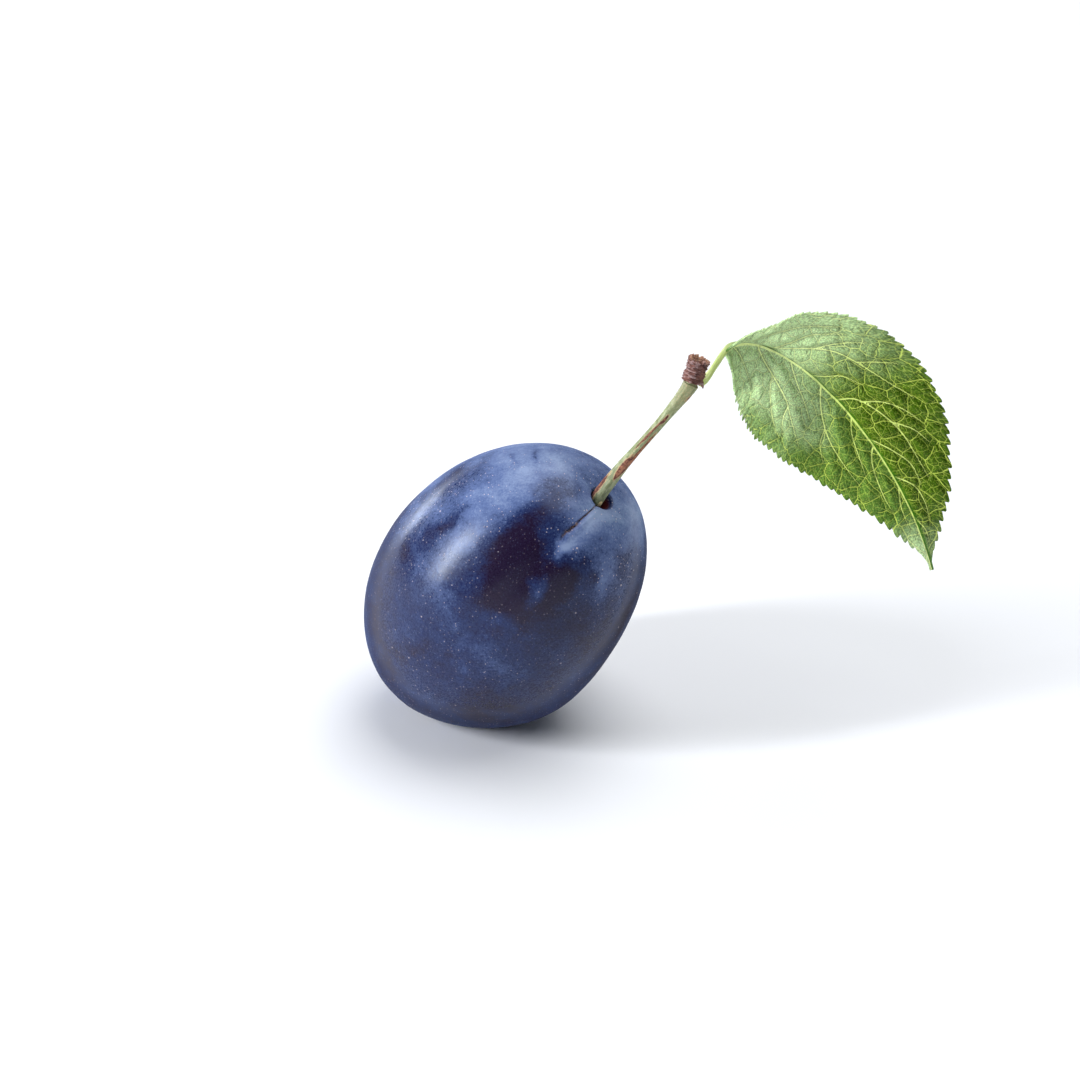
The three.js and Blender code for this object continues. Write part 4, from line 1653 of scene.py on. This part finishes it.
@dataclass
class Leaf:
    """One plum leaf: a toothed blade, curled and folded along its midrib, on a short petiole.

    Places on the blade are shares: along from the petiole, 0, to the tip, 1, and across from the
    left margin, -1, over the midrib to the right margin, 1.
    """

    midrib: tuple[Place, ...] = (
        (32.9, 0.3, 40.25), (40.4, 10.2, 42.0), (58.7, -10.2, 30.9), (66.1, -1.9, 4.0),
    )
    half_width: float = 14.8
    base_taper: float = 1.1
    tip_taper: float = 1.44
    wide_side: float = 1.09
    end_half_width: float = 0.3
    roll_at_base: float = 65.0
    roll_at_tip: float = 8.0
    fold_at_base: float = 36.0
    fold_at_tip: float = 3.0
    curl: float = 31.0
    thickness: float = 0.27
    teeth: int = 44
    tooth_depth: float = 0.95
    tooth_shares: tuple[float, ...] = (0, 0.3, 0.62, 0.86, 1)
    tooth_heights: tuple[float, ...] = (0, 0.55, 0.92, 1, 0)
    tooth_lean: float = 0.8
    tooth_turned_up: float = 0.8
    steps_per_tooth: int = 8
    columns: int = 116
    crowding: float = 0.35
    margin_wave: float = 0.35
    margin_waves: int = 5
    flat_length: float = 56.0
    rib_half_width: float = 0.27
    rib_narrows: float = 0.21
    quilt_height: float = 0.90
    vein_valley: float = 1.4
    rib_valley: float = 1.0
    pucker_height: float = 0.10
    sunken: float = 0.56
    petiole_path: tuple[Place, ...] = (
        (29.15, -2.25, 36.55), (30.4, -1.4, 37.1), (31.8, -0.6, 38.9),
    )
    petiole_foot: float = 0.8
    petiole_radius: float = 0.47
    petiole_around: int = 28
    petiole_along: int = 150
    channel_depth: float = 0.16
    channel_angle: float = 0.55
    petiole_ridges: int = 9
    petiole_ridge_height: float = 0.02
    keel_radius: float = 0.36
    keel_end_radius: float = 0.10
    keel_gap: float = 0.08
    keel_shares: tuple[float, ...] = (0.0, 0.08, 0.2, 0.36, 0.53, 0.7, 0.82, 0.93)
    # Each side's greens: a shaded and a backlit copy of one green, a painted sheen green, and a painted
    # groove shadow
    upper: LeafGreen = LeafGreen(
        "leaf_upper", shaded=(0.12, 0.25, 0.03), painted_backlit_green=(0.068, 0.148, 0.0005), painted_sheen_green=(0.62, 0.85, 0.42),
        vein=(0.60, 0.74, 0.11), rib=(0.88, 1.0, 0.42), painted_groove_shadow=(0.035, 0.16, 0.0005), gloss=0.40,
    )
    under: LeafGreen = LeafGreen(
        "leaf_under", shaded=(0.19, 0.29, 0.11), painted_backlit_green=(0.23, 0.36, 0.12), painted_sheen_green=(0.40, 0.52, 0.30),
        vein=(0.46, 0.56, 0.28), rib=(0.50, 0.62, 0.28), painted_groove_shadow=(0.17, 0.28, 0.09), gloss=0.60,
    )
    petiole: PetioleGreen = PetioleGreen()

    def spine(self, along: Points) -> tuple[Points, Points, Points]:
        """Places on the midrib.

        Args:
            along: Shares along the blade.

        Returns:
            The places, the directions across the blade, and those out of its upper side.
        """
        a, b, c, d = (np.asarray(p, float) for p in self.midrib)
        s = along[:, None]
        point = (1 - s) ** 3 * a + 3 * (1 - s) ** 2 * s * b + 3 * (1 - s) * s**2 * c + s**3 * d
        forward = unit(3 * (1 - s) ** 2 * (b - a) + 6 * (1 - s) * s * (c - b) + 3 * s**2 * (d - c))
        across = unit(np.cross(UP_AND_FORWARD, forward))
        return point, across, np.cross(forward, across)

    def half_widths(self, along: Points) -> Points:
        """The mean width of the blade's two halves, the teeth left out.

        Args:
            along: Shares along the blade.

        Returns:
            The widths.
        """
        widest = self.base_taper / (self.base_taper + self.tip_taper)
        peak = widest**self.base_taper * (1 - widest) ** self.tip_taper
        inside = np.clip(along, 0, 1)
        grown = self.half_width * inside**self.base_taper * (1 - inside) ** self.tip_taper / peak
        return np.maximum(self.end_half_width, grown)

    def widths(self, along: Points, across: Points) -> Points:
        """The width of the half that each place is in, the teeth left out."""
        return self.half_widths(along) * np.where(across >= 0, self.wide_side, 2 - self.wide_side)

    def blade(self, along: Points, across: Points, tooth: Points) -> Points:
        """Points of the blade's middle surface.

        Args:
            along: Shares along the blade.
            across: Shares across it.
            tooth: What the margin's teeth add to the width.

        Returns:
            The places, measured from the fruit's middle.
        """
        side = np.where(across >= 0, 1.0, -1.0)
        curl = math.radians(self.curl)
        to_base = 1 - along
        roll = np.radians(self.roll_at_tip + self.roll_at_base * to_base - self.roll_at_tip * to_base**4)
        fold = np.radians(self.fold_at_base + (self.fold_at_tip - self.fold_at_base) * along)
        width = self.widths(along, across) + tooth
        start = roll + side * fold
        end = start - side * curl * np.abs(across)
        reach = width * side / curl
        flat = reach * np.abs(np.sin(start) - np.sin(end))
        waves = np.sin(2 * math.pi * self.margin_waves * along + side) * eased(width, 1, 6)
        rise = reach * side * (np.cos(end) - np.cos(start)) + self.margin_wave * across**2 * waves
        point, over, out = self.spine(along)
        return point + over * flat[:, None] + out * rise[:, None]

    def normals(self, along: Points, across: Points) -> Points:
        """The way out of the blade's upper side.

        Args:
            along: Shares along the blade.
            across: Shares across it.

        Returns:
            The directions.
        """
        none = np.zeros_like(along)
        ahead, behind = np.clip(along + 0.004, 0, 1), np.clip(along - 0.004, 0, 1)
        right, left = np.clip(across + 0.05, -1, 1), np.clip(across - 0.05, -1, 1)
        forward = self.blade(ahead, across, none) - self.blade(behind, across, none)
        sideways = self.blade(along, right, none) - self.blade(along, left, none)
        return unit(np.cross(forward, sideways))

    def flat_places(self, along: Points, across: Points) -> Points:
        """The blade pressed flat, in millimetres: across and along."""
        return np.column_stack([across * self.widths(along, across), along * self.flat_length])

    def distance_to(self, flat: Points, stations: Points) -> tuple[Points, Points, Points]:
        """Compares flat places with a line.

        Args:
            flat: The places.
            stations: What the line runs through.

        Returns:
            How far each place is from the line, the share along it where it is nearest, and 1 or
            -1 for the side.
        """
        line = spline(stations, np.linspace(0, 1, 24))
        best = np.full(len(flat), np.inf)
        share, side = np.zeros(len(flat)), np.ones(len(flat))
        for index, (a, b) in enumerate(zip(line[:-1], line[1:])):
            step = b - a
            t = np.clip((flat - a) @ step / (step @ step), 0, 1)
            away = flat - a - t[:, None] * step
            off = np.linalg.norm(away, axis=1)
            nearer = off < best
            best[nearer] = off[nearer]
            share[nearer] = ((index + t) / (len(line) - 1))[nearer]
            side[nearer] = np.where(away @ np.array([-step[1], step[0]]) < 0, -1.0, 1.0)[nearer]
        return best, share, side

    def branches(self, flat: Points) -> tuple[Points, Points]:
        """The distance to the nearest side vein.

        Args:
            flat: Places on the flat blade.

        Returns:
            The distance, and the same with a sign for the side of the vein, which is larger where
            the vein is thin. The signed one passes through nothing on the vein itself, so that
            the vein is drawn finer than the mesh.
        """
        nearest, signed = np.full(len(flat), 9.0), np.full(len(flat), 9.0)
        for vein in VEINS:
            reached, share, side = self.distance_to(flat, self.flat_places(*vein.shares()))
            nearer = reached < nearest
            nearest[nearer] = reached[nearer]
            signed[nearer] = (side * (reached + vein.thinned(share)))[nearer]
        return nearest, signed

    def toothed(self, along: Points, across: Points) -> Points:
        """What the uneven teeth add to the width.

        Args:
            along: Shares along the blade.
            across: Shares across it.

        Returns:
            The widths, which are greatest at the margins.
        """
        place = along * self.teeth
        number = np.floor(place + 1e-6)
        vary = 0.75 + 0.5 * (np.sin(number * 12.9 + np.sign(across) * 4.1) * 43.7 % 1.0)
        height = np.interp(place - number, self.tooth_shares, self.tooth_heights) * vary
        return self.tooth_depth * height * eased(self.half_widths(along), 0.4, 3) * np.abs(across) ** 8

    def quilted(self, flat: Points, along: Points, branch: Points, rib: Points) -> Points:
        """The blade's relief: raised between the veins and sunk along them.

        Args:
            flat: Places on the flat blade.
            along: Shares along the blade.
            branch: Distances to the nearest side vein.
            rib: Distances to the edge of the midrib.

        Returns:
            The heights over the middle surface.
        """
        quilt = self.quilt_height * (1 - bell(branch, self.vein_valley))
        quilt *= 1 - bell(np.maximum(rib, 0), self.rib_valley)
        quilt *= 0.35 + 0.65 * eased(along, 0.12, 0.45)
        quilt -= self.sunken
        quilt += self.pucker_height * cloud(np.column_stack([flat, 0 * along]), 4.0, 2, 2.0)
        return quilt * self.room(along)

    def room(self, along: Points) -> Points:
        """How much of the quilted relief there is room for: none at the narrow ends."""
        return eased(self.half_widths(along), 1.0, 5.0)

    def painted_backlight(self, across: Points) -> Points:
        """How much painted backlight the green gets: little on the left half, much on the right."""
        return 0.15 + 0.75 * eased(across, -0.05, 0.05)

    def painted_sheen(self, along: Points, across: Points) -> Points:
        """How much painted sheen the upper side gets, pale where light would be reflected.

        Args:
            along: Shares along the blade.
            across: Shares across it.

        Returns:
            The painted sheen: about 1 at the base, less on the tip and some on the left half.
        """
        left = faded(across, -0.10, 0.10)
        near = (along - (0.15 + 0.06 * left)) / (0.49 - 0.06 * left)
        base = faded(near, 0.0, 1.0) * (0.92 + 0.12 * bell(across - 0.6, 0.4))
        base += 0.30 * bell(along - 0.49, 0.16) * bell(across + 0.52, 0.34)
        base -= 0.40 * bell(along - 0.34, 0.14) * eased(-across, 0.58, 0.88)
        tip = eased(along, 0.80, 0.97) * (0.45 + 0.35 * left)
        middle = eased(along, 0.25, 0.5) * faded(along, 0.5, 0.75)
        return base + middle * (0.10 * left + 0.12 * bell(across - 0.8, 0.35)) + tip - 0.06

    def build_blade(self) -> Piece:
        """The dressed blade, in the place of the plain leaf.

        Returns:
            The piece.
        """
        rows = self.teeth * self.steps_per_tooth
        piece = added(
            bpy.ops.mesh.primitive_grid_add, "leaf_blade",
            x_subdivisions=self.columns, y_subdivisions=rows, size=2.0,
        )
        sheet = coordinates(piece)
        across, along = np.clip(-sheet[:, 0], -1, 1), np.clip((sheet[:, 1] + 1) / 2, 0, 1)
        across = np.sin(across * math.pi / 2) * self.crowding + across * (1 - self.crowding)
        tooth = self.toothed(along, across)
        flat = self.flat_places(along, across)
        rib = np.abs(flat[:, 0]) - (self.rib_half_width - self.rib_narrows * along)
        branch, aside = self.branches(flat)
        lean = self.tooth_lean * tooth / self.tooth_depth / self.flat_length
        middle = self.blade(np.clip(along + lean, 0, 1), across, tooth)
        turned_up = self.tooth_turned_up * tooth * np.abs(across) ** 12 * (across < 0)
        turned_up *= faded(along, 0.3, 0.6)
        rise = self.quilted(flat, along, branch, rib) + turned_up
        shaped = middle + self.normals(along, across) * rise[:, None] + FRUIT_MIDDLE
        lay(piece, shaped * MM)
        # The blade stores its flat place, its veins, and where backlight and sheen are painted
        mark(piece, {
            "flat": np.column_stack([flat, 0 * along]), "branch": branch, "aside": aside,
            "rib": rib * np.where(across > 0, 0.35 + 0.65 * eased(along, 0.25, 0.5), 1.0),
            "painted_backlight": self.painted_backlight(across), "painted_sheen": self.painted_sheen(along, across),
        })
        piece.data.materials.append(self.upper.material())
        piece.data.materials.append(self.under.material())
        alone(piece)
        shell = piece.modifiers.new("thickness", "SOLIDIFY")
        shell.thickness = self.thickness * MM
        shell.offset = 0.0
        shell.material_offset = 1
        bpy.ops.object.modifier_apply(modifier=shell.name)
        smooth(piece, 50)
        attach(piece, "root")
        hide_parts("leaf")
        return piece

    def keel_radii(self, along: Points) -> Points:
        """The radius of the raised midrib under the blade."""
        return self.keel_radius + (self.keel_end_radius - self.keel_radius) * along

    def build_petiole(self) -> Piece:
        """The petiole, which runs on under the blade as its raised midrib.

        Returns:
            The piece.
        """
        shares = np.array(self.keel_shares)
        spine, _, out = self.spine(shares)
        below = self.sunken * self.room(shares) + self.keel_radii(shares) + self.keel_gap
        below[0] = 0.0
        way = unit(0.5 * self.normals(shares, np.zeros_like(shares)) + 0.5 * out)
        stations = np.vstack([self.petiole_path, spine - way * below[:, None]]) + FRUIT_MIDDLE
        path = Path(stations)
        free = Path(stations[: len(self.petiole_path) + 1]).length
        heights = np.linspace(0.15, path.length - 0.05, self.petiole_along)
        slims = self.petiole_radius - self.petiole_foot
        stem = self.petiole_foot + slims * eased(heights, 0, free * 0.5)
        share = np.clip((heights - free) / (path.length - free), 0, 1)
        radii = stem + (self.keel_radii(share) - stem) * eased(share, 0, 0.12)
        section = [(0.0, 0.0), (self.petiole_foot * 0.8, 0.0), *zip(radii, heights), (0.0, path.length)]
        piece = spun("petiole", section, self.petiole_around)
        straight = coordinates(piece)
        _, turn, height = rounded(straight)
        channel = self.channel_depth * bell(np.abs(turn), self.channel_angle)
        swell = 1 - channel + self.petiole_ridge_height * np.sin(self.petiole_ridges * turn)
        finish_shape(piece, path.carried(straight, swell, UP_AND_FORWARD), 60)
        mark(piece, {"straight": straight, "under": eased(height, free, free + 4.0)})
        piece.data.materials.append(self.petiole.material())
        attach(piece, "root")
        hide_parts("leaf")
        return piece


# ---- Studio ----


@dataclass(frozen=True)
class SoftBox:
    """A soft light: the way to it from the fruit, its distance, its size and its strength.

    The distance and the size are in metres.
    """

    name: str
    way: Place
    distance: float
    wide: float
    high: float
    watts: float
    tint: Colour = (1.0, 1.0, 1.0)

    def hang(self, target: Vector) -> None:
        """Hangs the light.

        Args:
            target: The place that it faces, in metres.
        """
        place = target + Vector(self.way).normalized() * self.distance
        bpy.ops.object.light_add(type="AREA", location=place)
        lamp = bpy.context.active_object
        lamp.name = self.name
        lamp.rotation_euler = (target - place).to_track_quat("-Z", "Y").to_euler()
        lamp.data.shape = "RECTANGLE"
        lamp.data.size, lamp.data.size_y = self.wide, self.high
        lamp.data.energy = self.watts
        lamp.data.color = self.tint


@dataclass
class Studio:
    """A pale table under soft light, and the camera, in metres."""

    camera_place: Place = (0.0104, -0.40415, 0.26305)
    camera_tilt: float = 60.0
    lens: float = 100.0
    sensor: float = 36.0
    table_side: float = 4.0
    sky: Colour = (0.88, 0.93, 1.0)
    sky_turns: Pair = (-0.5, 0.8)
    sky_strengths: Pair = (0.10, 0.38)
    boxes: tuple[SoftBox, ...] = (
        SoftBox("overhead_box", (0.30, 0.22, 1.0), 1.15, 1.3, 1.1, 13.5),
        SoftBox("window_left", (-0.88, -0.25, 0.40), 0.80, 0.085, 0.42, 7.0, (0.94, 0.96, 1.0)),
        SoftBox("window_behind", (-0.59, 0.80, 0.03), 0.50, 0.17, 0.09, 0.65, (0.90, 0.95, 1.0)),
        SoftBox("front_card", (0.10, -0.98, 0.07), 1.20, 1.5, 0.30, 1.2, (0.82, 0.91, 1.0)),
    )
    table_top: TableTop = TableTop()

    def sky_dome(self) -> bpy.types.World:
        """The sky, dim in front of the fruit and brighter behind it.

        Returns:
            The world that holds it.
        """
        world = bpy.data.worlds.new("sky")
        world.use_nodes = True
        nodes, links = world.node_tree.nodes, world.node_tree.links
        backdrop = nodes["Background"]
        backdrop.inputs["Color"].default_value = (*self.sky, 1.0)
        way = nodes.new("ShaderNodeSeparateXYZ")
        links.new(nodes.new("ShaderNodeTexCoord").outputs["Generated"], way.inputs[0])
        wash = nodes.new("ShaderNodeMapRange")
        wash.interpolation_type = "SMOOTHSTEP"
        links.new(way.outputs["Y"], wash.inputs["Value"])
        names = ("From Min", "From Max", "To Min", "To Max")
        for name, value in zip(names, (*self.sky_turns, *self.sky_strengths)):
            wash.inputs[name].default_value = value
        links.new(wash.outputs[0], backdrop.inputs["Strength"])
        return world

    def build(self) -> None:
        """Lays the table and sets the lights, the sky and the camera."""
        table = added(bpy.ops.mesh.primitive_plane_add, "table", size=self.table_side)
        table.data.materials.append(self.table_top.material())
        for box in self.boxes:
            box.hang(Vector(FRUIT_MIDDLE * MM))
        tilt = (math.radians(self.camera_tilt), 0, 0)
        bpy.ops.object.camera_add(location=self.camera_place, rotation=tilt)
        camera = bpy.context.active_object
        camera.data.lens, camera.data.sensor_width = self.lens, self.sensor
        scene = bpy.context.scene
        scene.world = self.sky_dome()
        scene.camera = camera
        scene.view_settings.view_transform = "Standard"


def main() -> None:
    """Builds the plum's pieces in order, then the studio."""
    logging.basicConfig(level=logging.INFO, format="%(name)s: %(message)s")
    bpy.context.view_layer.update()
    fruit, stalk, stub, leaf = Fruit(), Stalk(), SpurStub(), Leaf()
    makers = (
        fruit.build, stalk.build, stub.build, stub.build_fibres, leaf.build_blade, leaf.build_petiole,
    )
    for make in makers:
        piece = make()
        log.info("%s: %d faces", piece.name, len(piece.data.polygons))
    Studio().build()


if __name__ == "__main__":
    main()
